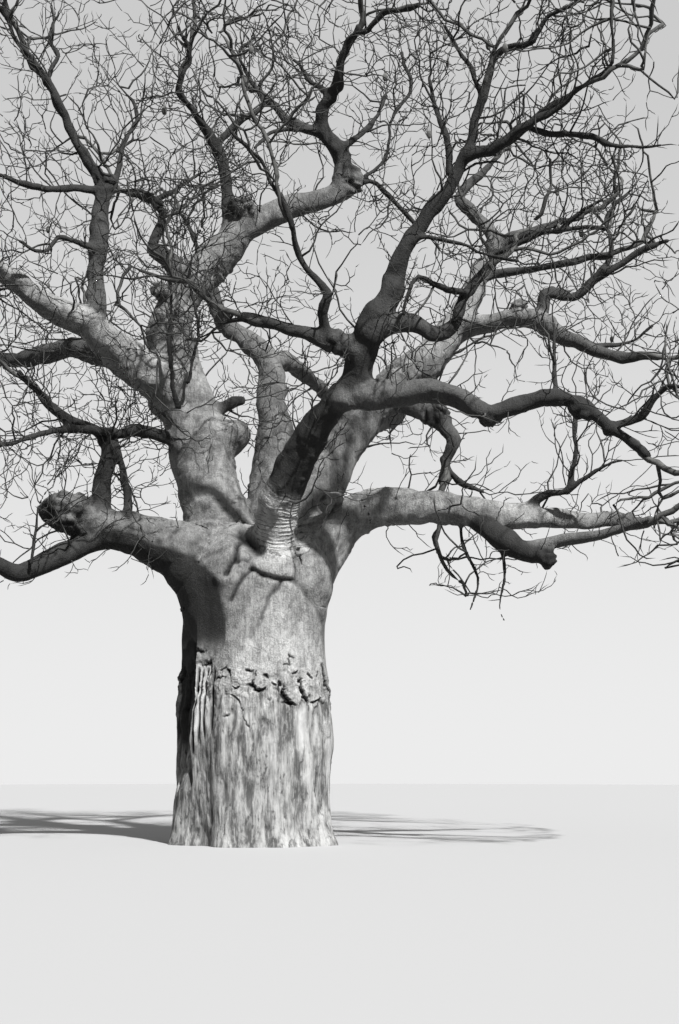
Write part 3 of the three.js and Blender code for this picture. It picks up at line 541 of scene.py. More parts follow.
# The weaker painted shade on the trunk: where it fades out across the left of the front, where it
# fades in towards the right side, and how strong it is.
FALLOFF_SHADE_LEFT = (-0.4, 0.6)
FALLOFF_SHADE_RIGHT = (0.7, 1.4)
FALLOFF_SHADE_SHARE = 0.46

# Noise on the skin. Each kind has its height, size, squash upright, layers and seed.
TORN_WAVES = ((0.09, 0.12, 1, 1, 5), (0.07, 0.05, 1, 1, 6))
TORN_FRAY = (0.03, 0.06, 1, 1, 7)
WOOD_WAVES = (0.03, 0.3, 0.3, 3, 11)
WOOD_RIDGES = (0.012, 0.09, 0.25, 3, 12)
BARK_WAVES = (0.014, 0.35, 0.3, 3, 13)
TRUNK_LUMPS = (0.02, 0.5, 1, 1, 14)
BAND_LUMPS = (0.012, 0.12, 1, 2, 15)
BARK_ISLANDS = (1, 0.22, 0.4, 3, 16)
LEDGES = (1, 0.2, 1, 1, 17)
FLAKES = (2.6, 0.17, 0.7, 3, 18)
FLAKE_GAPS = (1, 0.25, 1, 1, 19)
TEAR_SWAYS = (1, 0.07, 1, 3, 21)
FOLD_SWAY = (0.025, 0.15, 1, 1, 23)
PATCH_EDGES = (1, 0.16, 0.25, 3, 24)
BOUGH_LUMPS = (0.05, 0.8, 1, 1, 31)
BOUGH_FOLDS = (0.03, 0.32, 1, 3, 32)
RING_SWAY = (3, 0.4, 1, 1, 34)
RING_PLACES = (1, 0.9, 1, 1, 35)
WARTS = (1, 0.13, 1, 1, 36)
GNARLS = (0.05, 0.16, 1, 3, 37)
FURROWS = (1, 0.26, 1, 1, 38)
PAINTED_SHADE_SWAYS = ((0.05, 0.3, 1, 1, 51), (0.06, 0.25, 1, 1, 52), (0.05, 0.3, 1, 1, 53))
# Bark of the boughs: the radius from which its relief is full and its least share, the spacing
# and height of its rings, where they show and fade along a limb, and its warts.
FULL_RADIUS = 0.45
THIN_RELIEF = 0.25
RING_SPACING = 0.16
RING_HEIGHT = 0.003
RING_RANGE = (-0.1, 0.6)
RING_RUN = (1.6, 0.3)
WART_HEIGHT = 0.035
WART_RANGE = (0.55, 0.95)
# The heights between which the trunk's relief gives way to that of the boughs.
TRUNK_FADE = (4.6, 5.6)

# Torn bark of the trunk. The jagged line: a turn from +X in degrees and the height where the bark
# ends. Tears on the front: turn, height, half length, half width, tilt in degrees and depth.
TORN_LINE = (
    (0, 2.9), (30, 3.1), (60, 2.9), (90, 3.2), (120, 3.0), (150, 2.9), (180, 3.2), (205, 3.5),
    (216, 3.46), (236, 3.46), (239, 2.75), (251, 2.95), (262, 2.9), (275, 3.0), (285, 2.95),
    (299, 2.75), (303, 2.8), (335, 2.75), (345, 2.8), (360, 2.9),
)
TEARS = (
    (301, 3.55, 0.08, 0.015, -35, 0.03), (297, 3.41, 0.1, 0.014, 8, 0.03),
    (299, 3.46, 0.1, 0.013, 85, 0.025), (304, 3.24, 0.07, 0.018, 15, 0.035),
    (254, 3.26, 0.11, 0.02, -50, 0.045), (249, 3.3, 0.08, 0.014, 25, 0.03),
    (269, 3.27, 0.09, 0.016, -10, 0.035), (273, 3.22, 0.06, 0.012, 90, 0.03),
    (282, 3.18, 0.07, 0.022, -30, 0.045), (246, 3.16, 0.12, 0.014, 5, 0.03),
    (318, 3.2, 0.09, 0.018, -40, 0.04), (325, 3.24, 0.07, 0.014, 60, 0.035),
    (273, 2.97, 0.14, 0.028, -35, 0.07), (277, 2.9, 0.12, 0.022, 5, 0.06),
    (271, 3.05, 0.07, 0.016, 70, 0.04), (294, 2.8, 0.26, 0.035, -62, 0.09),
    (297, 2.68, 0.12, 0.025, -20, 0.06), (310, 2.94, 0.24, 0.032, -78, 0.09),
    (314, 2.75, 0.13, 0.022, -30, 0.06), (322, 2.72, 0.11, 0.018, 12, 0.045),
    (332, 2.75, 0.1, 0.02, 50, 0.045), (262, 2.68, 0.2, 0.014, -58, 0.035),
    (259, 2.95, 0.08, 0.014, 0, 0.03), (234, 3.28, 0.2, 0.016, 88, 0.05),
    (231, 3.44, 0.13, 0.024, 8, 0.06), (252, 2.43, 0.07, 0.018, 30, 0.035),
    (266, 2.3, 0.14, 0.014, -60, 0.03), (349, 1.5, 0.12, 0.03, 50, 0.05),
    (287, 3.02, 0.06, 0.018, -30, 0.045), (290, 2.96, 0.12, 0.014, 72, 0.035),
)
# Tears all round the rest of the trunk: how many, and the least and the most of each size.
MORE_TEARS = 34
MORE_TEARS_SEED = 8101
MORE_TEARS_FROM = 335
MORE_TEARS_SPAN = 250
TEAR_HEIGHTS = (2.5, 3.7)
TEAR_LENGTHS = (0.08, 0.3)
TEAR_WIDTHS = (0.012, 0.035)
TEAR_TILTS = (-80, 80)
TEAR_DEPTHS = (0.03, 0.09)
# The form of a tear: how far it is worked out as a share of its length and past that, how it bends
# and sways, how wide it is over and under its edge, its lip, and how soon its painted shade is full.
TEAR_REACH = 1.6
TEAR_MARGIN = 0.15
TEAR_ARCH = 0.5
TEAR_ARCH_TURNS = 7
TEAR_DRIFT = 0.35
TEAR_SWAY = 0.022
TEAR_SIDES = (0.6, 1.3)
TEAR_SPREAD = 1.25
TEAR_LIP = 0.3
TEAR_LIP_PLACE = 1.5
TEAR_LIP_WIDTH = 0.7
TEAR_SHADE = 1.6
# The edge of the bark: its thickness, its lip and how far that lies from the edge, the least share
# of a ledge, and where the noise makes ledges and leaves islands of bark.
BARK_THICKNESS = 0.022
LIP_RISE = 0.012
LIP_PLACE = 0.04
LEDGE_LEAST = 0.3
LEDGE_RANGE = (-0.25, 0.4)
ISLAND_RANGE = (0.2, 0.5)
ISLAND_REACH = 1.5
BARE_EDGE = (-0.02, 0.06)
TORN_BAND = (3.0, 0.5)
# Flakes of torn bark: the height and half height of their band, how high each stands over the
# next, where its step rises, where the edges break off, how wide the edges are and how dark their
# painted shade is.
FLAKE_BAND = (3.0, 0.36)
FLAKE_STEP = 0.014
FLAKE_RISE = (0.35, 0.65)
FLAKE_BREAK = 0.5
FLAKE_EDGE = 0.14
FLAKE_SHADE = 0.7
# Pale and dark patches of the stripped wood: turn, half width, foot, top and strength.
PALE_WOOD = (
    (308, 0.17, 1.7, 2.82, 0.9), (286, 0.1, 1.2, 2.3, 0.7), (337, 0.14, 0.9, 2.4, 0.7),
    (262, 0.11, 2.2, 3.0, 0.6), (322, 0.06, 1.9, 2.8, 0.6), (40, 0.3, 1.0, 2.6, 0.6),
    (95, 0.3, 1.4, 2.8, 0.6), (150, 0.3, 1.1, 2.5, 0.6),
)
DARK_WOOD = (
    (296, 0.12, 1.1, 1.9, 0.2), (274, 0.14, 1.5, 2.5, 0.2), (322, 0.1, 0.9, 1.9, 0.3),
    (246, 0.16, 0.8, 2.2, 0.3), (70, 0.2, 0.8, 2.2, 0.3), (125, 0.2, 0.8, 2.4, 0.3),
)
# Edges of a patch: the blur at its top and the share of its width that is full. How far they are
# ragged across and up, and how far a patch fades in over its foot and out over its top.
SHARP_EDGE = (0.06, 0.8)
SOFT_EDGE = (0.5, 0.2)
RAGGED_ACROSS = 0.22
RAGGED_UP = 0.12
PATCH_FOOT = 0.35
PATCH_TOP = 0.02
# The splintered strip of pale wood: its turn, half width, foot and top. The gouge beside it. How
# far dark places count as bare wood, and how dark the painted shade in the gouge is.
STRIP = (226.5, 0.29, 1.95, 3.46)
GOUGE = (197, 0.48, 1.75, 3.9)
DARK_BARE = 0.4
GOUGE_SHADE = 0.9
# Grooves in the stripped wood: turn, foot, top, half width and depth.
GROOVES = (
    (219.5, 1.6, 3.4, 0.03, 0.07), (225, 1.8, 3.36, 0.024, 0.05), (230.5, 1.9, 3.38, 0.03, 0.06),
    (213, 1.0, 3.4, 0.05, 0.12), (238, 2.0, 3.4, 0.03, 0.05),
    (252, 0.6, 2.6, 0.09, 0.04), (284, 0.5, 2.4, 0.1, 0.05), (322, 0.4, 2.6, 0.08, 0.05),
    (201, 0.9, 3.9, 0.08, 0.14), (193, 0.8, 3.6, 0.06, 0.12), (186, 1.1, 3.5, 0.05, 0.08),
)
# Grooves narrower than this get painted shade. How the grooves bend and sway, how they run out, and
# how dark the shade is.
NARROW_GROOVE = 0.035
GROOVE_BENDS = 0.4
GROOVE_SWAY = 1.2
GROOVE_FOOT = 0.3
GROOVE_TOP = 0.15
GROOVE_SHADE = 1.5
# Folds in the bark of the trunk's front: half width, depth, how dark their painted shade is, and
# places across and up. One of them runs under the edge of the collar.
COLLAR_FOLD = 1
FOLDS = (
    (0.045, 0.05, 0.7, ((-0.45, 4.63), (-0.33, 4.9), (-0.18, 5.09), (-0.06, 5.2))),
    (0.04, 0.03, 0.8, ((-0.06, 5.2), (0.05, 5.16), (0.17, 5.09), (0.4, 5.03), (0.7, 5.01))),
    (0.05, 0.022, 0.35, ((0.7, 5.01), (0.85, 4.9), (1.04, 4.67), (1.2, 4.44), (1.31, 4.25))),
    (0.06, 0.035, 0.3, ((0.51, 4.94), (0.32, 4.74), (0.2, 4.48), (0.13, 4.25), (-0.06, 3.91))),
    (0.05, 0.1, 1.0, ((-0.33, 5.8), (-0.39, 5.39), (-0.56, 5.13))),
    (0.12, 0.14, 1.0, ((-0.36, 6.0), (-0.14, 5.8), (0.06, 5.6))),
    (0.05, 0.025, 0.45, ((0.8, 6.0), (0.79, 5.4), (0.78, 5.02))),
)
# The ridges beside a fold: their height as a share of its depth, and their place and width as
# shares of its half width. Folds show on the front alone.
FOLD_RIDGE = 0.35
FOLD_RIDGE_PLACE = 3
FOLD_RIDGE_WIDTH = 2
FOLD_FRONT = (0.3, 0.7)
# The edge of the collar over its fold: where it rises and fades across, its height, the
# step up to it and how it thins out above. The collar runs out along the near bough.
COLLAR_ENDS = (-0.35, 0.2, 0.55, 0.95)
COLLAR_RISE = 0.03
COLLAR_STEP = 0.07
COLLAR_FADE = 0.2
COLLAR_RUN = (1.9, 2.7)
RING_LEAST = 0.12
# Painted shade in the hollows of the relief: how dark at the most, the depth at which it is full,
# and how often the relief is evened out to find them.
CAVITY_SHADE_SHARE = 0.85
CAVITY_SHADE_DEPTH = 0.03
CAVITY_SHADE_PASSES = 12

# Pods that hang from twigs of one order: how many, their sizes, and the limbs that bear them.
POD_COUNT = 26
POD_ORDER = 3
POD_LENGTH = 0.16
POD_WIDTH = 0.09
POD_STALK = 0.17
POD_STALK_WIDTH = 0.012
POD_OVERLAP = 0.45
POD_VARIETY = 0.25
POD_LIMBS = ("left_riser", "left_hook", "left_mid_bough", "near_leader", "right_mid_bough",
             "right_arm", "near_left_riser", "back_bough", "rear_left_bough")
DRAW_POD = 80
DRAW_POD_SIZE = 81

# Twig pieces: the limbs whose twigs each holds.
TWIG_PIECES = {
    "left_low_twigs": ("left_low_fork", "left_low_riser", "left_mid_bough", "left_low_bough"),
    "left_high_twigs": ("left_riser", "left_back_bough", "left_hook", "left_leader"),
    "top_twigs": ("crown_riser", "top_riser", "top_left_arm", "left_leader_top"),
    "near_twigs": ("near_leader", "near_inner_arm", "near_left_arm", "near_left_riser",
                   "near_top_right", "near_bough"),
    "right_low_twigs": ("right_low_bough", "right_low_tip", "near_right_bough",
                        "right_drop_bough", "right_low_fork"),
    "right_high_twigs": ("right_leader_top", "right_top_arm", "right_arm", "right_mid_bough",
                         "right_leader"),
    "back_twigs": ("middle_back_bough", "back_bough", "rear_left_bough", "rear_right_bough"),
}

# The stage: the camera of the photograph, the floor, the key light and the sky.
CAMERA_PLACE = (1.63, -28.5, 1.6)
CAMERA_PITCH = 9.89
CAMERA_LENS = 50
CAMERA_SENSOR = 36
CAMERA_SIGHT = 400
FLOOR_RADIUS = 70
FLOOR_CORNERS = 96
KEY_AZIMUTH = 28
KEY_HEIGHT = 47
KEY_SOFTNESS = 2
KEY_STRENGTH = 5.9
FILL_BELOW = 0.13
FILL_ABOVE = 0.3
SKY_LOW = (0.84, 0.84, 0.84, 1)
SKY_HIGH = (0.6, 0.6, 0.6, 1)


def scramble(number):
    """A whole number of 32 bits, mixed so that near numbers give far ones."""
    n = np.asarray(number, np.uint64).astype(np.uint32)
    n = (n ^ (n >> np.uint32(16))) * np.uint32(MIX_FIRST)
    n = (n ^ (n >> np.uint32(15))) * np.uint32(MIX_SECOND)
    return n ^ (n >> np.uint32(16))


def draw(key, turn):
    """The seeded draw from 0 to 1 that belongs to a key and a turn."""
    step = (turn * MIX_TURN) & WORD
    mixed = scramble(np.asarray(key, np.uint64) + np.uint64(step))
    return mixed.astype(float) / 2 ** 32


def swing(key, turn):
    return 2 * draw(key, turn) - 1


def unit(vectors):
    return vectors / np.maximum(np.linalg.norm(vectors, axis=-1, keepdims=True), 1e-12)


def value_noise(places, size, seed=0):
    """Smooth noise from -1 to 1 whose lumps are about size across. Size may differ by axis."""
    at = np.asarray(places, float) / size
    low = np.floor(at)
    share = at - low
    share = share * share * (3 - 2 * share)
    low = low.astype(np.int64)
    total = np.zeros(len(at))
    for corner in range(8):
        step = np.array((corner & 1, corner >> 1 & 1, corner >> 2 & 1))
        cell = low + step
        x, y, z = (cell * MIX_CELL).T
        value = scramble(((x ^ y ^ z) + seed * MIX_SEED) & WORD) / 2 ** 31 - 1
        total += value * np.where(step, share, 1 - share).prod(1)
    return total


def rough_noise(places, size, layers, seed=0):
    """Value noise in layers, each half as large and half as strong as the last."""
    size = np.asarray(size, float)
    total = np.zeros(len(places))
    for layer in range(layers):
        total += value_noise(places, size / 2 ** layer, seed + layer) / 2 ** layer
    return total


def smooth_step(low, high, value):
    share = np.clip((value - low) / (high - low), 0, 1)
    return share * share * (3 - 2 * share)


def bell(value, middle, reach):
    """1 where the value is at the middle, fading out evenly past the reach."""
    return np.exp(-((value - middle) / reach) ** 2)


def bumps(places, kind):
    """One kind of noise on the skin, drawn out upright where it is squashed."""
    height, size, squash, layers, seed = kind
    return height * rough_noise(places * np.array((1, 1, squash)), size, layers, seed)


def curve_at(points, shares):
    """Places on a centripetal Catmull-Rom curve through the points."""
    p = np.asarray(points, float)
    p = np.vstack((2 * p[0] - p[1], p, 2 * p[-1] - p[-2]))
    last = len(points) - 1
    k = np.minimum(np.floor(shares * last).astype(int), last - 1)
    w = (shares * last - k)[:, None]
    x0, x1, x2, x3 = (p[k + i] for i in range(4))
    d0, d1, d2 = (np.linalg.norm(b - a, axis=1)[:, None] ** 0.5
                  for a, b in ((x0, x1), (x1, x2), (x2, x3)))
    out = ((x1 - x0) / d0 - (x2 - x0) / (d0 + d1) + (x2 - x1) / d1) * d1
    into = ((x2 - x1) / d1 - (x3 - x1) / (d1 + d2) + (x3 - x2) / d2) * d1
    bend = 3 * (x2 - x1) - 2 * out - into
    twist = 2 * (x1 - x2) + out + into
    return x1 + out * w + bend * w ** 2 + twist * w ** 3


def even_places(points, count):
    """Places at even steps along the curve, the way it runs at each, and its length."""
    table = np.linspace(0, 1, LENGTH_STEPS)
    steps = np.linalg.norm(np.diff(curve_at(points, table), axis=0), axis=1)
    lengths = np.concatenate(([0], np.cumsum(steps)))
    shares = np.interp(np.linspace(0, lengths[-1], count), lengths, table)
    nudge = 1e-4
    facings = (curve_at(points, np.minimum(shares + nudge, 1))
               - curve_at(points, np.maximum(shares - nudge, 0)))
    return curve_at(points, shares), unit(facings), lengths[-1]


def evenly(values, shares):
    """The value at each share of the way along a list of evenly spaced values."""
    return np.interp(shares, np.linspace(0, 1, len(values)), values)


def curve_length(points):
    return even_places(points, 2)[2]


def even_rings(limb, count):
    """Middles, radii and facings of rings at even steps along a limb."""
    middles, facings, _ = even_places(limb.through, count + 1)
    return middles, evenly(limb.across, np.linspace(0, 1, count + 1)) / 2, facings


@functools.lru_cache(maxsize=None)
def limb_rings():
    """For each limb the middles, radii and facings of the rings that its solid has."""
    rings = {}
    for name, limb in LIMBS.items():
        thickness = sum(limb.across) / len(limb.across)
        step = min(max(RING_SHARE * thickness, RING_SHORTEST), RING_LONGEST)
        count = max(FEWEST_RINGS, round(curve_length(limb.through) / step))
        middles, radii, facings = even_rings(limb, count)
        if limb.parent != "trunk":
            carrier, carrier_radii = rings[limb.parent][:2]
            nearest = np.linalg.norm(carrier - middles[0], axis=1).argmin()
            radii[0] = min(radii[0], FOOT_SHARE * carrier_radii[nearest])
        rings[name] = (middles, radii, facings)
    return rings


@functools.lru_cache(maxsize=None)
def twig_masses():
    """The masses of twigs: where each starts, its way out, its middle and its key."""
    rings = limb_rings()
    names = [name for name in LIMBS if name not in BARE_LIMBS]
    tips = np.array([rings[name][0][-1] for name in names])
    outward = unit(tips - CROWN_HEART)
    return {
        "names": names,
        "tips": tips,
        "radii": np.array([rings[name][1][-1] for name in names]),
        "facings": np.array([rings[name][2][-1] for name in names]),
        "outward": outward,
        "middles": tips + outward * MASS_AHEAD,
        "keys": scramble(SEED + np.arange(len(names))),
    }


@functools.lru_cache(maxsize=None)
def limb_spines():
    """Middles and radii along the fine spines of the limbs and arms, for the skin.

    A limb that bears twigs runs on a little way into its stem, so that no end is cut off."""
    spines = {}
    for name, limb in LIMBS.items():
        count = max(LIMB_STEPS, round(curve_length(limb.through) / TUBE_STEP))
        middles, radii, facings = even_rings(limb, count)
        radii[0] = min(radii[0], limb_rings()[name][1][0])
        if name not in BARE_LIMBS:
            stem = min(TWIG_ORDERS[0]["radius"], STEM_SHARE * radii[-1])
            run = np.linspace(0, STEM_RUN, STEM_STEPS)[1:]
            thinning = np.linspace(radii[-1], stem * STEM_TAPER, STEM_STEPS)[1:]
            middles = np.vstack((middles, middles[-1] + facings[-1] * run[:, None]))
            radii = np.concatenate((radii, thinning))
        spines[name] = (middles, radii)
    for name, (across, through) in ARMS.items():
        count = max(ARM_STEPS, round(curve_length(through) / TUBE_STEP))
        spines[name] = (even_places(through, count)[0], np.linspace(*across, count) / 2)
    return spines


def lean_at(height):
    return TRUNK_LEAN * height / TRUNK_TOP


def trunk_radius(angle, height, share):
    """How far the trunk's skin stands from its middle before any relief."""
    flare = FLARE_FLUTES * np.maximum(0, 1 - height / FLARE_TOP)
    radius = TRUNK_RADIUS * share
    for waves, depth, turn in FLUTES:
        radius = radius + TRUNK_RADIUS * depth * (1 + flare) * np.cos(waves * angle + turn)
    aside = np.abs(angle % (2 * math.pi) - HOLLOW_TURN) / HOLLOW_HALF_WIDTH
    ends = smooth_step(*HOLLOW_FOOT, height) * (1 - smooth_step(*HOLLOW_TOP, height))
    return radius - HOLLOW_DEPTH * ends * np.maximum(0, 1 - aside ** 2)


def trunk_distance(places):
    """Distance past the trunk's skin, near enough where the skin is close."""
    levels, shares = np.array(TRUNK_LEVELS).T
    fine = np.linspace(0, 1, CURVE_STEPS)
    curve = curve_at(np.column_stack((levels, shares * TRUNK_RADIUS, levels * 0)), fine)
    height = np.clip(places[:, 2], 0, TRUNK_TOP)
    share = np.interp(height, curve[:, 0], curve[:, 1]) / TRUNK_RADIUS
    slope = np.gradient(curve[:, 1], curve[:, 0])
    slope = np.interp(height, curve[:, 0], slope)
    x = places[:, 0] - lean_at(height)
    y = places[:, 1]
    radius = trunk_radius(np.arctan2(y, x), height, share)
    side = (np.hypot(x, y) - radius) / np.sqrt(1 + slope ** 2)
    over = places[:, 2] - TRUNK_TOP
    return np.where(over > 0, np.hypot(np.maximum(np.hypot(x, y) - radius, 0), over), side)


def spine_distance(middles, radii, places):
    """Distance past a limb's skin, how far along the limb, and the limb's radius there."""
    a, ab = middles[:-1], np.diff(middles, axis=0)
    lengths = np.linalg.norm(ab, axis=1)
    starts = np.concatenate(([0], np.cumsum(lengths)))[:-1]
    thinning = np.diff(radii)
    result = np.empty((3, len(places)))
    for first in range(0, len(places), CHUNK):
        part = slice(first, first + CHUNK)
        offset = places[part, None] - a
        share = np.clip((offset * ab).sum(2) / lengths ** 2, 0, 1)
        gap = np.linalg.norm(offset - ab * share[..., None], axis=2)
        radius = radii[:-1] + thinning * share
        best = (gap - radius).argmin(1)
        rows = np.arange(len(best))
        result[0, part] = (gap - radius)[rows, best]
        result[1, part] = (starts + lengths * share)[rows, best]
        result[2, part] = radius[rows, best]
    return result


def soft_union(a, b, blend):
    """The nearer of two distances, with a fillet of the given size where they meet."""
    share = np.clip(0.5 + 0.5 * (b - a) / blend, 0, 1)
    return b + (a - b) * share - blend * share * (1 - share)


def skin_fields(places):
    """For each place: the distance past the whole skin, the index of the nearest limb (-1 is the
    trunk), how far along that limb it is, and the limb's radius there."""
    whole = trunk_distance(places)
    nearest = whole.copy()
    owner = np.full(len(places), -1)
    run = places[:, 2].copy()
    thickness = np.full(len(places), TRUNK_RADIUS)
    for index, (middles, radii) in enumerate(limb_spines().values()):
        reach = radii.max() + FAR / 2
        near = ((places > middles.min(0) - reach) & (places < middles.max(0) + reach)).all(1)
        if not near.any():
            continue
        gap, along, radius = spine_distance(middles, radii, places[near])
        blend = BLEND_SHARE * radii[0] + BLEND_LEAST
        whole[near] = soft_union(whole[near], gap, blend)
        closer = gap < nearest[near]
        rows = np.flatnonzero(near)[closer]
        nearest[rows] = gap[closer]
        owner[rows] = index
        run[rows] = along[closer]
        thickness[rows] = radius[closer]
    for middle, radius in KNOBS + LOBES:
        gap = np.linalg.norm(places - np.array(middle), axis=1) - radius
        near = gap < FAR
        whole[near] = soft_union(whole[near], gap[near], SWELLING_BLEND * radius)
    return whole, owner, run, thickness


def distance_to_line(x, z, line):
    """How far each place on the trunk's front is from a crease."""
    best = np.full(len(x), FAR)
    for (x0, z0), (x1, z1) in zip(line, line[1:]):
        span = (x1 - x0) ** 2 + (z1 - z0) ** 2
        share = np.clip(((x - x0) * (x1 - x0) + (z - z0) * (z1 - z0)) / span, 0, 1)
        gap = np.hypot(x - x0 - share * (x1 - x0), z - z0 - share * (z1 - z0))
        best = np.minimum(best, gap)
    return best


def ring_places(angle):
    """Places on a ring of radius 1 round the trunk, for noise that depends on the turn alone."""
    return np.column_stack((np.cos(angle), np.sin(angle), angle * 0))


def torn_line(angle, places):
    """The height at which the bark ends, torn along a jagged line round the trunk."""
    turns, heights = np.array(TORN_LINE).T
    line = np.interp(np.degrees(angle) % 360, turns, heights) + bumps(places, TORN_FRAY)
    for wave in TORN_WAVES:
        line += bumps(ring_places(angle), wave)
    return line


def turn_across(angle, degrees, half_width):
    """How far round the trunk each place lies from a turn, in half widths."""
    turn = (angle - math.radians(degrees) + math.pi) % (2 * math.pi) - math.pi
    return turn * TRUNK_RADIUS / half_width


def stripped(angle, places):
    """How far the wood is bare, where its edge is a ledge, and how far it lies under the edge."""
    gap = torn_line(angle, places) - places[:, 2]
    ledge = smooth_step(*LEDGE_RANGE, bumps(ring_places(angle), LEDGES))
    islands = smooth_step(*ISLAND_RANGE, bumps(places, BARK_ISLANDS))
    islands *= np.exp(-np.maximum(gap, 0) / ISLAND_REACH)
    return smooth_step(*BARE_EDGE, gap) * (1 - islands), ledge, gap


def trunk_relief(places):
    """Height of the trunk's relief, how far its wood is stripped bare, how fresh it is, and how
    dark:
    the painted shade in the tears, flake edges, grooves and gouge, and the dark patches of wood."""
    x, y, z = places.T
    angle = np.arctan2(y, x - lean_at(z))
    bare, ledge, gap = stripped(angle, places)
    relief = -BARK_THICKNESS * bare * (LEDGE_LEAST + (1 - LEDGE_LEAST) * ledge)
    relief += LIP_RISE * ledge * bell(gap, -LIP_PLACE, LIP_PLACE)
    relief += bare * (bumps(places, WOOD_WAVES) + bumps(places, WOOD_RIDGES))
    relief += (1 - bare) * bumps(places, BARK_WAVES) + bumps(places, TRUNK_LUMPS)
    relief += bell(z, *TORN_BAND) * bumps(places, BAND_LUMPS)
    torn, dark = torn_places(angle, places)
    grooved, split = grooves(angle, z)
    flakes, edges = flaked(places)
    relief += torn - grooved + flakes
    # Painted shade on the flake edges and in the narrow grooves.
    dark = np.maximum(np.maximum(dark, edges), split)
    dark = np.maximum(dark, bare * patches(angle, places, DARK_WOOD))
    fresh = patch_on_trunk(angle, places, STRIP)
    fresh = np.maximum(fresh, bare * patches(angle, places, PALE_WOOD))
    gouge = patch_on_trunk(angle, places, GOUGE)
    bare = np.maximum(bare, np.maximum(DARK_BARE * dark, fresh))
    # Painted shade in the gouge.
    return relief, bare, np.maximum(dark, GOUGE_SHADE * gouge), fresh * (1 - gouge)


def flaked(places):
    """Relief of the flakes in the torn band, like steps, and the painted shade on their edges."""
    band = bell(places[:, 2], *FLAKE_BAND)
    steps = bumps(places, FLAKES)
    share = steps - np.floor(steps)
    terrace = np.floor(steps) + smooth_step(*FLAKE_RISE, share)
    broken = smooth_step(0, FLAKE_BREAK, bumps(places, FLAKE_GAPS))
    # Painted shade along the edge of each step.
    edge = bell(share, 0.5, FLAKE_EDGE) * broken * band
    return FLAKE_STEP * band * terrace, FLAKE_SHADE * edge


def patch_on_trunk(angle, places, patch, edge=SHARP_EDGE):
    """A ragged upright patch on the trunk: 1 inside and 0 outside."""
    degrees, half_width, foot, top = patch
    blur, core = edge
    ragged = bumps(places, PATCH_EDGES)
    across = np.abs(turn_across(angle, degrees, half_width)) + RAGGED_ACROSS * ragged
    z = places[:, 2] + RAGGED_UP * ragged
    ends = smooth_step(foot, foot + PATCH_FOOT, z)
    ends *= 1 - smooth_step(top - blur, top + PATCH_TOP, z)
    return ends * (1 - smooth_step(core, 1.0, across))


def patches(angle, places, kinds):
    """The strongest of several soft patches at each place."""
    strongest = np.zeros(len(places))
    for *patch, strength in kinds:
        soft = patch_on_trunk(angle, places, patch, SOFT_EDGE)
        strongest = np.maximum(strongest, strength * soft)
    return strongest


@functools.lru_cache(maxsize=None)
def all_tears():
    """The tears of the front, and more on the sides and back by seeded draws."""
    number = np.arange(MORE_TEARS)
    share = (number * GOLDEN_TURN / (2 * math.pi)) % 1
    turns = MORE_TEARS_FROM + MORE_TEARS_SPAN * share
    keys = MORE_TEARS_SEED + number
    drawn = [low + (high - low) * draw(keys, turn) for turn, (low, high) in enumerate(
        (TEAR_HEIGHTS, TEAR_LENGTHS, TEAR_WIDTHS, TEAR_TILTS, TEAR_DEPTHS))]
    return (*TEARS, *zip(turns, *drawn))


def torn_places(angle, places):
    """Relief of the tears in the bark, each a ragged arched hollow under a lip, and the painted
    shade in it.
    """
    relief = np.zeros(len(places))
    painted_lip_shade = np.zeros(len(places))
    for degrees, level, half_length, half_width, tilt, depth in all_tears():
        across = turn_across(angle, degrees, 1)
        up = places[:, 2] - level
        near = np.flatnonzero(np.hypot(across, up) < TEAR_REACH * half_length + TEAR_MARGIN)
        if not len(near):
            continue
        sway = bumps(places[near], TEAR_SWAYS)
        cos, sin = math.cos(math.radians(tilt)), math.sin(math.radians(tilt))
        along = (across[near] * cos + up[near] * sin) / half_length + TEAR_DRIFT * sway
        arch = TEAR_ARCH * math.cos(TEAR_ARCH_TURNS * degrees) * half_length
        aside = up[near] * cos - across[near] * sin + TEAR_SWAY * sway + arch * along ** 2
        ends = np.clip(1 - along ** 2, 0, 1) ** 0.5
        reach = TEAR_SPREAD * half_width * np.where(aside > 0, *TEAR_SIDES)
        hollow = ends * bell(aside, 0, reach)
        lip = ends * bell(aside, TEAR_LIP_PLACE * half_width, TEAR_LIP_WIDTH * half_width)
        relief[near] += depth * (TEAR_LIP * lip - hollow)
        # Painted shade in the hollow under the lip.
        painted_lip_shade[near] = np.maximum(painted_lip_shade[near], np.minimum(TEAR_SHADE * hollow, 1))
    return relief, painted_lip_shade


def grooves(angle, height):
    """Depth of the long grooves in the stripped wood, and the painted shade in the narrow ones."""
    depth_there = np.zeros(len(height))
    dark = np.zeros(len(height))
    upward = np.column_stack((height * 0, height * 0, height))
    for degrees, foot, top, half_width, depth in GROOVES:
        sway = value_noise(upward, GROOVE_BENDS, int(2 * degrees))
        across = turn_across(angle, degrees, half_width) + GROOVE_SWAY * sway
        ends = smooth_step(foot, foot + GROOVE_FOOT, height)
        inside = ends * (1 - smooth_step(top - GROOVE_TOP, top, height)) * bell(across, 0, 1)
        depth_there += depth * inside
        # Narrow grooves get painted shade.
        if half_width < NARROW_GROOVE:
            dark = np.maximum(dark, np.minimum(GROOVE_SHADE * inside, 1))
    return depth_there, dark


def collar_edge(x, z):
    """How high the edge of the collar stands over its fold."""
    across, up = np.array(FOLDS[COLLAR_FOLD][-1]).T
    above = z - np.interp(x, across, up)
    rise, full, fading, gone = COLLAR_ENDS
    ends = smooth_step(rise, full, x) * (1 - smooth_step(fading, gone, x))
    step = smooth_step(0, COLLAR_STEP, above) * np.exp(-above ** 2 / COLLAR_FADE)
    return COLLAR_RISE * ends * step


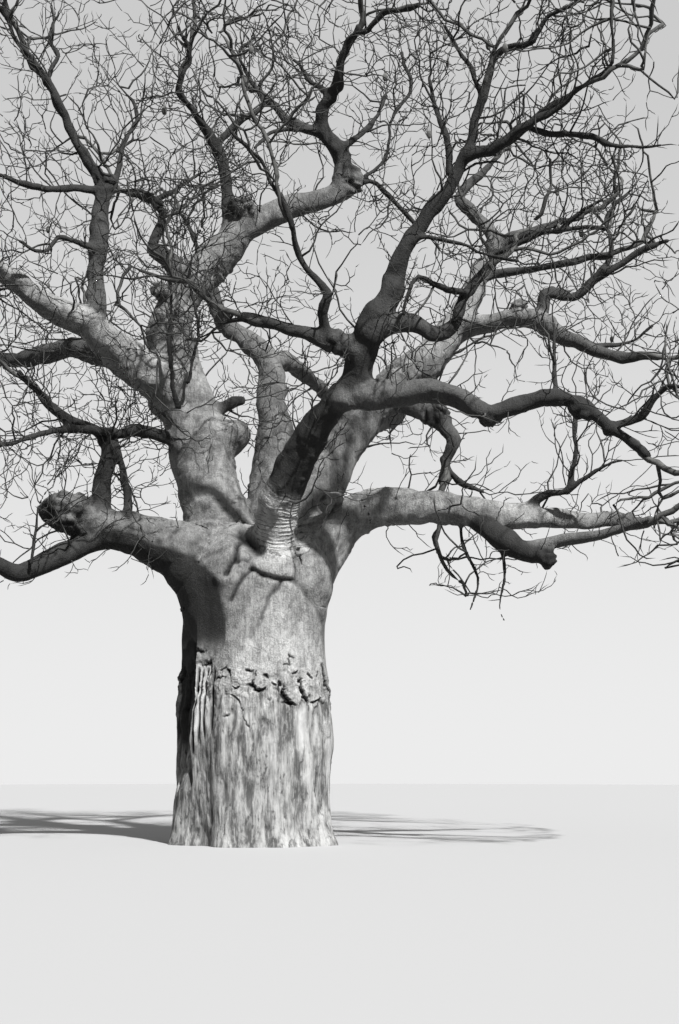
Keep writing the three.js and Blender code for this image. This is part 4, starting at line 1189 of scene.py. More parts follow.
def folds(places):
    """Folds of the bark on the trunk's front, each a furrow with a low ridge on both sides, and the
    painted shade in the furrows."""
    x, y, z = places.T
    front = smooth_step(*FOLD_FRONT, -y)
    relief = front * collar_edge(x, z)
    dark = np.zeros(len(places))
    sway = bumps(places, FOLD_SWAY)
    for half_width, depth, fold_shade, line in FOLDS:
        gap = distance_to_line(x + sway, z, line)
        furrow = front * bell(gap, 0, half_width)
        ridge = bell(gap, FOLD_RIDGE_PLACE * half_width, FOLD_RIDGE_WIDTH * half_width)
        relief += depth * (FOLD_RIDGE * front * ridge - furrow)
        # Painted shade in the furrow.
        dark = np.maximum(dark, fold_shade * furrow)
    return relief, dark


def bough_relief(places, run, thickness):
    """Height of the relief on the boughs: lumps, folds, ring wrinkles and small warts."""
    relief = bumps(places, BOUGH_LUMPS) + bumps(places, BOUGH_FOLDS)
    rings = np.sin(2 * math.pi * run / RING_SPACING + bumps(places, RING_SWAY))
    strength = smooth_step(*RING_RANGE, bumps(places, RING_PLACES)) + smooth_step(*RING_RUN, run)
    relief += RING_HEIGHT * rings * np.minimum(strength, 1)
    relief += WART_HEIGHT * smooth_step(*WART_RANGE, bumps(places, WARTS))
    return relief * np.clip(thickness / FULL_RADIUS, THIN_RELIEF, 1)


def gnarled(places):
    """How near each place is to a knot or a stub: 1 on it, 0 well clear of it."""
    gap = np.full(len(places), FAR)
    for middle, radius in KNOBS:
        gap = np.minimum(gap, np.linalg.norm(places - np.array(middle), axis=1) - radius)
    return smooth_step(GNARL_REACH, 0, gap)


def skin_relief(places, owner, run, thickness):
    """Height of the relief anywhere on the skin, how bare and fresh the wood there is, and how dark
    it is painted: shade in creases and hollows, and the dark patches of wood.
    """
    on_trunk, bare, dark, fresh = trunk_relief(places)
    trunkward = 1 - smooth_step(*TRUNK_FADE, places[:, 2])
    trunkward = np.where(owner < 0, np.maximum(trunkward, 0.5), trunkward)
    relief = on_trunk * trunkward + bough_relief(places, run, thickness) * (1 - trunkward)
    near_knot = gnarled(places)
    furrows = near_knot * bell(bumps(places, FURROWS), 0, FURROW_WIDTH)
    relief += near_knot * bumps(places, GNARLS) - FURROW_DEPTH * furrows
    folded, shaded = folds(places)
    # Painted shade in the folds and in the furrows on the knots.
    dark = np.maximum(np.maximum(dark * trunkward, shaded), FURROW_SHADE * furrows)
    return relief + folded, bare * trunkward, dark, fresh * trunkward


def crooked(places):
    """Places moved a little aside, so that limbs and the twigs on them run crooked."""
    share = smooth_step(*CROOK_FADE, places[:, 2])[:, None]
    wide = [value_noise(places, CROOK_WIDE, CROOK_WIDE_SEED + axis) for axis in range(3)]
    fine = [value_noise(places, CROOK_FINE, CROOK_FINE_SEED + axis) for axis in range(3)]
    move = CROOK_WIDE_MOVE * np.column_stack(wide) + CROOK_FINE_MOVE * np.column_stack(fine)
    return np.clip(places + move * share, CAD_LOW, CAD_HIGH)


def read_places(mesh):
    places = np.empty(len(mesh.vertices) * 3)
    mesh.vertices.foreach_get("co", places)
    return places.reshape(-1, 3)


def read_normals(mesh):
    normals = np.empty(len(mesh.vertices) * 3)
    mesh.vertex_normals.foreach_get("vector", normals)
    return normals.reshape(-1, 3)


def write_places(mesh, places):
    mesh.vertices.foreach_set("co", places.ravel())
    mesh.update()


def write_attribute(mesh, name, values):
    attribute = mesh.attributes.new(name, "FLOAT", "POINT")
    attribute.data.foreach_set("value", np.asarray(values, np.float32))


def evened(mesh, values, passes):
    """A value at each vertex, made the mean of its neighbours a number of times."""
    edges = np.empty(len(mesh.edges) * 2, np.int64)
    mesh.edges.foreach_get("vertices", edges)
    one, two = edges.reshape(-1, 2).T
    size = len(values)
    count = np.maximum(np.bincount(one, minlength=size) + np.bincount(two, minlength=size), 1)
    for _ in range(passes):
        total = np.bincount(one, values[two], size) + np.bincount(two, values[one], size)
        values = total / count
    return values


def settle_skin(mesh):
    """Moves a raw skin on to the smooth one."""
    for _ in range(PROJECTIONS):
        places = read_places(mesh)
        gap = np.clip(skin_fields(places)[0], -FARTHEST_MOVE, FARTHEST_MOVE)
        write_places(mesh, places - read_normals(mesh) * gap[:, None])


def bark_tones(mesh, places, owner, run, thickness):
    """How pale the bark is at each place, with painted shade on the low left and on the trunk's
    sides, and how far it belongs to the ringed collar.
    """
    names = list(limb_spines())
    tones = [LIMB_TONES.get(name, ARM_TONE if name in ARMS else USUAL_TONE) for name in names]
    tone = np.array([*tones, 1])[owner]
    tone *= THIN_TONE + (1 - THIN_TONE) * smooth_step(*THIN_RADII, thickness)
    collar = (owner == names.index("near_bough")) * (1 - smooth_step(*COLLAR_RUN, run))
    tone = evened(mesh, np.maximum(tone, collar), TONE_PASSES)
    # Painted shade: the low left side and the trunk's sides lower the tone here.
    tone *= 1 - PAINTED_SHADE_SHARE * painted_shade(places, owner, read_normals(mesh))
    return evened(mesh, tone, PAINTED_SHADE_PASSES), collar


def dress_skin(mesh):
    """Moves a raw skin on to the smooth one, adds the bark's relief, and stores what the bark's
    material reads: the run along the limb, tone, bareness, and the painted shade of hollows, creases
    and torn lips with the dark patches of wood."""
    settle_skin(mesh)
    places = read_places(mesh)
    _, owner, run, thickness = skin_fields(places)
    relief, bare, dark, fresh = skin_relief(places, owner, run, thickness)
    relief *= bpy.context.scene.baobab_sizes.relief
    on_ground = places[:, 2] < SMALL_GAP
    places += read_normals(mesh) * relief[:, None]
    places[on_ground, 2] = 0
    write_places(mesh, crooked(places))
    under = evened(mesh, relief, CAVITY_SHADE_PASSES) - relief
    tone, collar = bark_tones(mesh, places, owner, run, thickness)
    # Painted shade in the hollows of the relief, the darker the deeper.
    hollow = CAVITY_SHADE_SHARE * np.clip(under / CAVITY_SHADE_DEPTH, 0, 1)
    # One attribute carries this painted shade, that of the creases and torn lips, and the dark
    # patches of wood.
    looks = {"run": run, "bare": bare, "tone": tone, "fresh": fresh,
             "shade_and_dark_wood": np.clip(np.maximum(hollow, dark), 0, 1),
             "ring": np.maximum(RING_LEAST, collar) * (owner >= 0)}
    for name, values in looks.items():
        write_attribute(mesh, name, values)
    return owner, run


def painted_shade(places, owner, normals):
    """How strong the painted shade is on the low left of the tree, under its edge, and on the
    trunk's sides.
    """
    x, y, z = places.T
    names = list(limb_spines())
    limbs = np.isin(owner, [names.index(name) for name in PAINTED_SHADE_LIMBS])
    turn_sway, edge_sway, side_sway = (bumps(places, kind) for kind in PAINTED_SHADE_SWAYS)
    least = np.interp(x, PAINTED_SHADE_TURN_ENDS, PAINTED_SHADE_TURNS)
    turned = smooth_step(0, PAINTED_SHADE_TURN_STEP, normals @ np.array(PAINTED_SHADE_WAY) + turn_sway - least)
    across, up = np.array(PAINTED_SHADE_EDGE).T
    over = smooth_step(0, PAINTED_SHADE_BLUR, z - np.interp(x, across, up) + edge_sway)
    past = smooth_step(0, PAINTED_SHADE_BLUR, x - across[-1] - side_sway)
    # Weaker painted shade on the trunk's front, at its left and at its right.
    falloff_shade = FALLOFF_SHADE_SHARE * np.maximum(1 - smooth_step(*FALLOFF_SHADE_LEFT, x), smooth_step(*FALLOFF_SHADE_RIGHT, x))
    share = np.maximum((1 - over) * (1 - past) * turned, falloff_shade * (owner < 0) * (y < 0))
    level = np.where(limbs, 1, (owner < 0) * smooth_step(*PAINTED_SHADE_LEVEL, z))
    return share * level * (1 - smooth_step(*PAINTED_SHADE_BEHIND, y))


def new_object(name, mesh, materials):
    piece = bpy.data.objects.new(name, mesh)
    bpy.context.scene.collection.objects.link(piece)
    for material in materials:
        mesh.materials.append(material)
    return piece


def shade_smooth(mesh):
    mesh.polygons.foreach_set("use_smooth", np.ones(len(mesh.polygons), bool))


def mesh_from(bm, name):
    """A new mesh with what a bmesh holds, which is freed."""
    mesh = bpy.data.meshes.new(name)
    bm.to_mesh(mesh)
    bm.free()
    return mesh


def close_holes(bm):
    rim = [edge for edge in bm.edges if edge.is_boundary]
    if rim:
        bmesh.ops.holes_fill(bm, edges=rim, sides=0)


def crowded(place):
    """Where a place of the flat grid, from -1 to 1 both ways, lies: its turn and its height."""
    turn = math.pi * place.x - FRONT_CROWDING * math.cos(math.pi * place.x)
    phase = 2 * math.pi * ROW_PHASE
    share = (place.y + 1) / 2
    crowding = math.sin(2 * math.pi * share - phase) + math.sin(phase)
    share += ROW_CROWDING / (2 * math.pi) * crowding
    return turn, share * (FORK_CUT + TRUNK_OVERLAP)


def trunk_below_fork():
    """The trunk up to just over the cut of the fork: a grid bent round and projected."""
    bm = bmesh.new()
    bmesh.ops.create_grid(bm, x_segments=TRUNK_COLUMNS, y_segments=TRUNK_ROWS, size=1)
    for vertex in bm.verts:
        turn, height = crowded(vertex.co)
        vertex.co = Vector((lean_at(height) + TRUNK_RADIUS * math.cos(turn),
                            TRUNK_RADIUS * math.sin(turn), height))
    bmesh.ops.remove_doubles(bm, verts=bm.verts, dist=SMALL_GAP)
    bmesh.ops.recalc_face_normals(bm, faces=bm.faces)
    mesh = mesh_from(bm, "trunk_bark")
    for _ in range(TRUNK_PROJECTIONS):
        places = read_places(mesh)
        out = places.copy()
        out[:, 0] -= lean_at(out[:, 2])
        out[:, 2] = 0
        places -= unit(out) * skin_fields(places)[0][:, None]
        write_places(mesh, places)
    return mesh


def limb_tubes():
    """One mesh of closed tubes round every limb and arm."""
    curve = bpy.data.curves.new("limb_tubes", "CURVE")
    curve.dimensions = "3D"
    curve.bevel_depth = 1
    curve.bevel_resolution = TUBE_CORNERS
    curve.use_fill_caps = True
    for middles, radii in limb_spines().values():
        spline = curve.splines.new("POLY")
        spline.points.add(len(middles) - 1)
        flat = np.column_stack((middles, np.ones(len(middles))))
        spline.points.foreach_set("co", flat.ravel())
        spline.points.foreach_set("radius", radii)
    tubes = bpy.data.objects.new("limb_tubes", curve)
    bpy.context.scene.collection.objects.link(tubes)
    mesh = finished_mesh(tubes)
    bpy.data.objects.remove(tubes)
    bpy.data.curves.remove(curve)
    return mesh


def finished_mesh(piece):
    """A new mesh of a piece with its bevel or modifiers applied."""
    graph = bpy.context.evaluated_depsgraph_get()
    return bpy.data.meshes.new_from_object(piece.evaluated_get(graph))


def raw_skin():
    """The tubes of all limbs and arms with the swellings and the trunk's top, in one mesh."""
    mesh = limb_tubes()
    bm = bmesh.new()
    bm.from_mesh(mesh)
    for middle, radius in KNOBS + LOBES:
        bmesh.ops.create_icosphere(bm, subdivisions=3, radius=radius,
                                   matrix=Matrix.Translation(middle))
    add_trunk_core(bm)
    bm.to_mesh(mesh)
    bm.free()
    return mesh


def add_trunk_core(bm):
    """A plain stack of rings for the trunk from under the fork's cut to its top."""
    height = FORK_CUT - CORE_DEPTH
    rim = bmesh.ops.create_circle(bm, cap_ends=True, cap_tris=False, segments=CORE_COLUMNS,
                                  radius=TRUNK_RADIUS * CORE_SHARE,
                                  matrix=Matrix.Translation((0, 0, height)))["verts"]
    edges = list({edge for vertex in rim for edge in vertex.link_edges})
    for level, share in TRUNK_LEVELS:
        if level <= FORK_CUT:
            continue
        grown = bmesh.ops.extrude_edge_only(bm, edges=edges)["geom"]
        ring = [part for part in grown if isinstance(part, bmesh.types.BMVert)]
        edges = [part for part in grown if isinstance(part, bmesh.types.BMEdge)]
        for vertex in ring:
            out = Vector((vertex.co.x, vertex.co.y, 0)).normalized() * TRUNK_RADIUS * share
            vertex.co = Vector((out.x, out.y, vertex.co.z + level - height))
        height = level
    bmesh.ops.contextual_create(bm, geom=edges)


def joined_skin():
    """The fork and all boughs as one closed skin, remeshed together and dressed, and the number
    of the piece that each place of it belongs to."""
    raw = new_object("raw_skin", raw_skin(), ())
    remesh = raw.modifiers.new("Skin", "REMESH")
    remesh.mode = "VOXEL"
    remesh.voxel_size = bpy.context.scene.baobab_sizes.skin_step
    raw.modifiers.new("Smooth", "SMOOTH").iterations = SMOOTH_PASSES
    skin = finished_mesh(raw)
    bpy.data.meshes.remove(raw.data)
    cut_at_fork(skin)
    owner, run = dress_skin(skin)
    return skin, skin_homes(read_places(skin), owner, run)


def skin_homes(places, owner, run):
    """The number of the piece that each place belongs to: 0 is the fork, the boughs' follow."""
    names = list(limb_spines())
    home = {limb: index for index, limbs in enumerate(BOUGH_PIECES.values(), 1) for limb in limbs}
    homes = np.array([home.get(name, 0) for name in names] + [0])
    reach = np.array([FORK_REACH.get(name, 0) for name in names] + [0])
    part = np.where(run < reach[owner], 0, homes[owner])
    for name in ARMS:
        rows = owner == names.index(name)
        part[rows] = nearest_part(places[rows], homes, reach)
    return part


def cut_at_fork(skin):
    """Takes away what of the skin lies under the fork's cut."""
    bm = bmesh.new()
    bm.from_mesh(skin)
    bmesh.ops.bisect_plane(bm, geom=[*bm.verts, *bm.edges, *bm.faces], dist=SMALL_GAP,
                           plane_co=(0, 0, FORK_CUT), plane_no=(0, 0, 1), clear_inner=True)
    bm.to_mesh(skin)
    bm.free()


def nearest_part(places, homes, reach):
    """The piece that bears an arm: that of the limb nearest to the arm's foot."""
    best = np.full(len(places), np.inf)
    part = np.zeros(len(places), int)
    for index, name in enumerate(LIMBS):
        middles, radii = limb_spines()[name]
        gap, along, _ = spine_distance(middles, radii, places)
        closer = gap < best
        best[closer] = gap[closer]
        part[closer] = np.where(along < reach[index], 0, homes[index])[closer]
    return part


def skin_part(skin, chosen, name):
    """A closed piece of the whole skin, shaded as the whole is."""
    normals = read_normals(skin)
    bm = bmesh.new()
    bm.from_mesh(skin)
    index = bm.verts.layers.int.new("whole")
    for vertex in bm.verts:
        vertex[index] = vertex.index
    others = [face for face in bm.faces if not chosen[face.verts[0].index]]
    bmesh.ops.delete(bm, geom=others, context="FACES")
    close_holes(bm)
    bmesh.ops.triangulate(bm, faces=[face for face in bm.faces if len(face.verts) > 4])
    whole = [vertex[index] for vertex in bm.verts]
    mesh = mesh_from(bm, name)
    shade_smooth(mesh)
    mesh.normals_split_custom_set_from_vertices(normals[whole])
    mesh.attributes.remove(mesh.attributes["whole"])
    return mesh


def across_axes(headings):
    """Two directions across each heading, at right angles to each other."""
    steep = np.abs(headings[:, 2]) > STEEP
    helper = np.where(steep[:, None], (1.0, 0.0, 0.0), (0.0, 0.0, 1.0))
    side = unit(np.cross(headings, helper))
    return side, np.cross(headings, side)


def inside_crown(places, margin=0.0, limit=1.0):
    """Whether each place is inside the crown's limits and the box of the solids."""
    offset = places - CROWN_MIDDLE
    plan = (np.abs(offset[:, 0] / CROWN_HALF_WIDTH) ** PLAN_SQUARENESS
            + np.abs(offset[:, 1] / CROWN_HALF_DEPTH) ** PLAN_SQUARENESS) ** (1 / PLAN_SQUARENESS)
    above = offset[:, 2] > 0
    height = np.abs(offset[:, 2]) / np.where(above, CROWN_RISE, CROWN_DROP)
    squareness = np.where(above, TOP_SQUARENESS, UNDERSIDE_SQUARENESS)
    inside = plan ** squareness + height ** squareness < limit
    low, high = np.array(CAD_LOW) + margin, np.array(CAD_HIGH) - margin
    return inside & (places > low).all(1) & (places < high).all(1)


def inside_own_space(places, margin, mass, free, limit):
    """Whether each place is in its mass's own space. A free twig only keeps to the crown."""
    middles = twig_masses()["middles"]
    inside = inside_crown(places, margin, limit)
    own_middle = middles[mass]
    own = ((places - own_middle) ** 2).sum(1)
    inside_own = own <= MASS_REACH ** 2
    for index, middle in enumerate(middles):
        apart = 2 * np.linalg.norm(own_middle - middle, axis=1)
        gap = (((places - middle) ** 2).sum(1) - own) / np.maximum(apart, 1e-9)
        inside_own &= (mass == index) | (gap >= margin)
    return inside & (inside_own | free)


@functools.lru_cache(maxsize=None)
def limb_stretches():
    """Starts, spans and thickest radii of the stretches between the rings of every limb."""
    starts, spans, radii = [], [], []
    for middles, ring_radii, _ in limb_rings().values():
        starts.append(middles[:-1])
        spans.append(np.diff(middles, axis=0))
        radii.append(np.maximum(ring_radii[:-1], ring_radii[1:]))
    return np.vstack(starts), np.vstack(spans), np.concatenate(radii)


def room_around(places):
    """The clear distance from each place to the nearest limb or to the trunk."""
    room = np.hypot(places[:, 0], places[:, 1]) - TRUNK_RADIUS
    over = places[:, 2] - TRUNK_TOP
    room = np.where(over > 0, np.maximum(room, over), room)
    starts, spans, radii = limb_stretches()
    lengths = (spans ** 2).sum(1)
    for first in range(0, len(places), SMALL_CHUNK):
        part = slice(first, first + SMALL_CHUNK)
        offset = places[part, None] - starts
        share = np.clip((offset * spans).sum(2) / lengths, 0, 1)
        gap = np.linalg.norm(offset - spans * share[..., None], axis=2) - radii
        room[part] = np.minimum(room[part], gap.min(1))
    return room


def stretches_are_clear(starts, ends, radius, shoots):
    """Whether each stretch keeps to its space and clear of the limbs."""
    clear = np.ones(len(starts), bool)
    lengths = np.linalg.norm(ends - starts, axis=1)
    probes = np.ceil(lengths / TWIG_PROBE).astype(int)
    for probe in range(1, probes.max(initial=0) + 1):
        rows = np.flatnonzero(clear & (probes >= probe))
        share = (probe / probes[rows])[:, None]
        places = starts[rows] + (ends[rows] - starts[rows]) * share
        fine = inside_own_space(places, radius, shoots["mass"][rows], shoots["free"][rows],
                                shoots["limit"][rows])
        checked = rows[fine]
        roomy = room_around(places[fine]) >= radius + TWIG_CLEARANCE
        clear[rows] = False
        clear[checked] = roomy
    return clear


def next_stretches(starts, ways, lengths, radius, shoots):
    """The end and heading of each twig's next stretch. One that isn't clear is turned towards
    the middle of its mass, a few times at most."""
    middles = twig_masses()["middles"][shoots["mass"]]
    homeward = unit(middles - starts)
    headings = ways.copy()
    ends = starts.copy()
    open_rows = np.arange(len(starts))
    for turn in range(TWIG_TURNS + 1):
        if not len(open_rows):
            break
        heading = unit(ways[open_rows] + homeward[open_rows] * TWIG_TURN * turn)
        end = starts[open_rows] + heading * lengths[open_rows, None]
        some = {field: shoots[field][open_rows] for field in SPACE_FIELDS}
        clear = stretches_are_clear(starts[open_rows], end, radius, some)
        done = open_rows[clear]
        headings[done] = heading[clear]
        ends[done] = end[clear]
        open_rows = open_rows[~clear]
    found = np.ones(len(starts), bool)
    found[open_rows] = False
    return ends, headings, found


def turned_away(course, keys, step):
    """The side on which each twig bears its next shoot, turned by the golden angle every step."""
    side, up = across_axes(course)
    turn = GOLDEN_TURN * step + 2 * math.pi * draw(keys, DRAW_TURN)
    return side * np.cos(turn)[:, None] + up * np.sin(turn)[:, None]


def shoots_at(ends, course, away, bearers, size, step):
    """The shoots of the next order: one springs from each twig where its step ends."""
    keys = bearers["key"]
    angle = (size["spread"] + size["wander"] * swing(keys, DRAW_SPREAD + step))[:, None]
    return {
        "start": ends,
        "heading": course * np.cos(angle) + away * np.sin(angle),
        "share": (1 - TWIG_SHORTENING * (step - 1) / size["steps"]
                  + size["variety"] * swing(keys, DRAW_SHARE + step)),
        "key": scramble(keys.astype(np.uint64) + step),
        "rooted": np.zeros(len(keys), bool),
        **{field: bearers[field] for field in SPACE_FIELDS},
    }


def onward(course, away, bearers, size, step):
    """The way that each twig takes next: bent away from its shoot, and a little out and up."""
    wander = np.column_stack([swing(bearers["key"], first + step) for first in DRAW_WANDER])
    outward = twig_masses()["outward"][bearers["mass"]]
    return unit(course - away * size["bend"] + wander * size["wander"] + outward * TWIG_LIFT
                + np.array((0, 0, TWIG_LIFT)))


def grow_order(order, shoots):
    """Grows one order of twigs. Gives the places of each twig, how many steps it has grown, and
    the shoots of the next order. A rooted shoot springs from a limb, so it starts straight."""
    size = TWIG_ORDERS[order]
    places = np.repeat(shoots["start"][:, None], size["steps"] + 1, axis=1)
    ways = shoots["heading"].copy()
    grown = np.zeros(len(ways), int)
    lengths = size["length"] * shoots["share"] / size["steps"]
    rows = np.arange(len(ways))
    children = []
    for step in range(1, size["steps"] + 1):
        some = chosen_shoots(shoots, rows)
        starts = places[rows, step - 1]
        ends, headings, found = next_stretches(starts, ways[rows], lengths[rows],
                                               size["radius"], some)
        if step == 1:
            rooted = shoots["rooted"]
            ends[rooted] = starts[rooted] + ways[rooted] * lengths[rooted, None]
            headings[rooted] = ways[rooted]
            found[rooted] = inside_crown(ends[rooted])
        rows, ends, course = rows[found], ends[found], headings[found]
        some = chosen_shoots(some, found)
        places[rows, step:] = ends[:, None]
        grown[rows] = step
        away = turned_away(course, some["key"], step)
        children.append(shoots_at(ends, course, away, some, size, step))
        ways[rows] = onward(course, away, some, size, step)
    return places, grown, join_shoots(children)


def join_shoots(groups):
    return {field: np.concatenate([group[field] for group in groups]) for field in groups[0]}


def kinked(places, keys, kinks):
    """Halves every stretch a few times. Each new place is set on a soft curve through the four
    places round it, and then moved a little."""
    for level in range(kinks):
        a, b = places[:, :-1], places[:, 1:]
        before = np.concatenate((2 * a[:, :1] - b[:, :1], a[:, :-1]), axis=1)
        after = np.concatenate((b[:, 1:], 2 * b[:, -1:] - a[:, -1:]), axis=1)
        span = np.linalg.norm(b - a, axis=2, keepdims=True)
        offset = np.stack([
            np.column_stack([
                swing(keys, DRAW_KINK + KINK_LEVEL_DRAWS * level + KINK_STEP_DRAWS * step + axis)
                for axis in range(3)]) for step in range(a.shape[1])], axis=1)
        middle = (9 * (a + b) - before - after) / 16 + offset * span * KINK_SHARE
        woven = np.empty((places.shape[0], places.shape[1] * 2 - 1, 3))
        woven[:, 0::2] = places
        woven[:, 1::2] = middle
        places = woven
    return places


def twig_tubes(places, radii, sides):
    """Vertices and faces of pointed tubes, one for each row of places."""
    count, rings = places.shape[:2]
    ways = np.gradient(places, axis=1)
    ways[:, 0] = places[:, 1] - places[:, 0]
    ways = unit(ways)
    side = across_axes(unit(places[:, -1] - places[:, 0] + 1e-9))[0][:, None]
    one = unit(np.cross(ways, side))
    two = np.cross(ways, one)
    angles = 2 * math.pi * np.arange(sides) / sides
    ring = (one[:, :-1, None] * np.cos(angles)[:, None]
            + two[:, :-1, None] * np.sin(angles)[:, None])
    walls = places[:, :-1, None] + ring * radii[:, :-1, None, None]
    vertices = np.concatenate((walls.reshape(count, -1, 3), places[:, -1:]), axis=1)
    stride = (rings - 1) * sides + 1
    corner = np.arange(sides)
    follow = (corner + 1) % sides
    base = (np.arange(rings - 2) * sides)[:, None]
    quads = np.stack((base + corner, base + sides + corner,
                      base + sides + follow, base + follow), axis=2).reshape(-1, 4)
    last = (rings - 2) * sides
    tips = np.column_stack((last + corner, np.full(sides, stride - 1), last + follow))
    starts = (np.arange(count) * stride)[:, None, None]
    return (vertices.reshape(-1, 3), (quads + starts).reshape(-1, 4),
            (tips + starts).reshape(-1, 3), (corner + starts[:, 0]))


@functools.lru_cache(maxsize=None)
def arm_rings():
    """The middles, radii and facings of rings along every arm."""
    rings = []
    for across, through in ARMS.values():
        count = max(FEWEST_RINGS, round(curve_length(through) / RING_SHORTEST))
        middles, facings, _ = even_places(through, count + 1)
        rings.append((middles, np.linspace(*across, count + 1) / 2, facings))
    return rings


def side_shoots(order):
    """Shoots of one order along limbs and arms, turned round them by the golden angle."""
    shoots = []
    for names, lines, first, kinds in ((LIMBS, limb_rings().values(), 0, LIMB_SHOOTS),
                                       (ARMS, arm_rings(), FIRST_ARM, ARM_SHOOTS)):
        for start, step, skip in kinds:
            if start != order:
                continue
            for index, (name, line) in enumerate(zip(names, lines), first):
                if name in HANGING and order <= FINE_ORDER:
                    continue
                some = shoots_along(line, index, step, skip)
                if name in CLEAR_BELOW and order <= FINE_ORDER:
                    some = chosen_shoots(some, some["heading"][:, 2] > LOWEST_WAY)
                shoots.append(some)
    if order == FINE_ORDER:
        shoots += [tip_shoot(line, index) for index, line in enumerate(arm_rings())]
    return shoots


def chosen_shoots(shoots, chosen):
    return {field: values[chosen] for field, values in shoots.items()}


def shoots_along(line, index, step, skip):
    """Shoots at uneven steps along one limb or arm."""
    middles, radii, facings = line
    length = np.linalg.norm(np.diff(middles, axis=0), axis=1).sum()
    count = max(1, int(length * (1 - skip) / step))
    number = np.arange(count)
    key = scramble(SHOOT_SEED + LIMB_SEEDS * index + int(step * KIND_SEEDS)
                   + PLACE_SEEDS * number)
    uneven = number + 0.5 + SHOOT_UNEVEN * swing(key, DRAW_SHOOT_PLACE)
    share = skip + (1 - skip) * uneven / count
    at = share * (len(middles) - 1)
    low = np.minimum(at.astype(int), len(middles) - 2)
    rest = (at - low)[:, None]
    middle = middles[low] * (1 - rest) + middles[low + 1] * rest
    facing = facings[low]
    side, up = across_axes(facing)
    turn = GOLDEN_TURN * number + index
    away = side * np.cos(turn)[:, None] + up * np.sin(turn)[:, None]
    radius = radii[low, None] * (1 - rest) + radii[low + 1, None] * rest
    heading = unit(away + facing * SHOOT_LEAN + np.array((0, 0, SHOOT_LIFT)))
    start = middle + away * radius * ROOT_SHARE
    length = SHOOT_LEAST + SHOOT_VARIETY * draw(key, DRAW_SHOOT_SHARE)
    return free_shoots(start, heading, length, key)


def tip_shoot(line, index):
    """The twig that carries on from the tip of an arm."""
    middles, _, facings = line
    key = scramble(np.array([TIP_SEED + index]))
    return free_shoots(middles[-1:], facings[-1:], np.array([1.0]), key)


def free_shoots(start, heading, share, key):
    """Shoots that belong to the nearest mass but may leave its space."""
    middles = twig_masses()["middles"]
    mass = np.linalg.norm(start[:, None] - middles, axis=2).argmin(1)
    return {"start": start, "heading": heading, "share": share, "key": key, "mass": mass,
            "limit": ragged_limit(key), "free": np.ones(len(key), bool),
            "rooted": np.ones(len(key), bool)}


def ragged_limit(key):
    """How near to the crown's limits each finer twig may grow: 1 is right up to them."""
    return 1 - RAGGED * draw(key, DRAW_LIMIT)


def kept_shoots(shoots):
    """The finer shoots that each mass keeps."""
    fullness = np.array([FULLNESS.get(name, USUAL_FULLNESS) for name in twig_masses()["names"]])
    kept = chosen_shoots(shoots, draw(shoots["key"], DRAW_KEPT) < fullness[shoots["mass"]])
    return {**kept, "limit": ragged_limit(kept["key"])}


def place_pieces():
    """The index of the twig piece for each mass."""
    names = twig_masses()["names"]
    home = {limb: i for i, limbs in enumerate(TWIG_PIECES.values()) for limb in limbs}
    return np.array([home[name] for name in names])


@functools.lru_cache(maxsize=None)
def grow_tree():
    """All twigs, order by order: the places of each, how many it has, and its shoot."""
    masses = twig_masses()
    count = len(masses["names"])
    shoots = {
        "start": masses["tips"] + masses["facings"] * TOUCH_GAP,
        "heading": masses["facings"],
        "share": np.ones(count),
        "key": masses["keys"],
        "mass": np.arange(count),
        "limit": np.ones(count),
        "free": np.zeros(count, bool),
        "rooted": np.ones(count, bool),
    }
    grown = []
    for order in range(len(TWIG_ORDERS)):
        if order >= FINE_ORDER:
            shoots = kept_shoots(shoots)
        shoots = join_shoots([shoots, *side_shoots(order)])
        places, lengths, next_shoots = grow_order(order, shoots)
        grown.append((places, lengths, shoots))
        shoots = next_shoots
    return grown


def twig_mesh(name, parts):
    """One mesh of all the tubes of a piece, with the age of each twig stored on it."""
    vertices, quads, triangles, ages = [], [], [], []
    offset = 0
    for places, radii, sides, age in parts:
        points, walls, tips, feet = twig_tubes(places, radii, sides)
        vertices.append(points)
        quads.append(walls + offset)
        triangles.append(tips + offset)
        if sides == 4:
            quads.append(feet + offset)
        else:
            triangles += [feet[:, (0, corner, corner + 1)] + offset
                          for corner in range(1, sides - 1)]
        ages.append(np.full(len(points), age))
        offset += len(points)
    mesh = mesh_of_faces(name, crooked(np.vstack(vertices)), np.vstack(quads),
                         np.vstack(triangles))
    write_attribute(mesh, "age", np.concatenate(ages))
    return mesh


def mesh_of_faces(name, vertices, quads, triangles):
    """A smooth mesh from its vertices, its faces with four corners and those with three."""
    corners = np.concatenate((quads.ravel(), triangles.ravel())).astype(np.int32)
    totals = np.repeat((4, 3), (len(quads), len(triangles)))
    starts = np.concatenate(([0], np.cumsum(totals)[:-1])).astype(np.int32)
    mesh = bpy.data.meshes.new(name)
    mesh.vertices.add(len(vertices))
    mesh.vertices.foreach_set("co", vertices.ravel())
    mesh.loops.add(len(corners))
    mesh.loops.foreach_set("vertex_index", corners)
    mesh.polygons.add(len(totals))
    mesh.polygons.foreach_set("loop_start", starts)
    mesh.update(calc_edges=True)
    mesh.validate()
    shade_smooth(mesh)
    return mesh


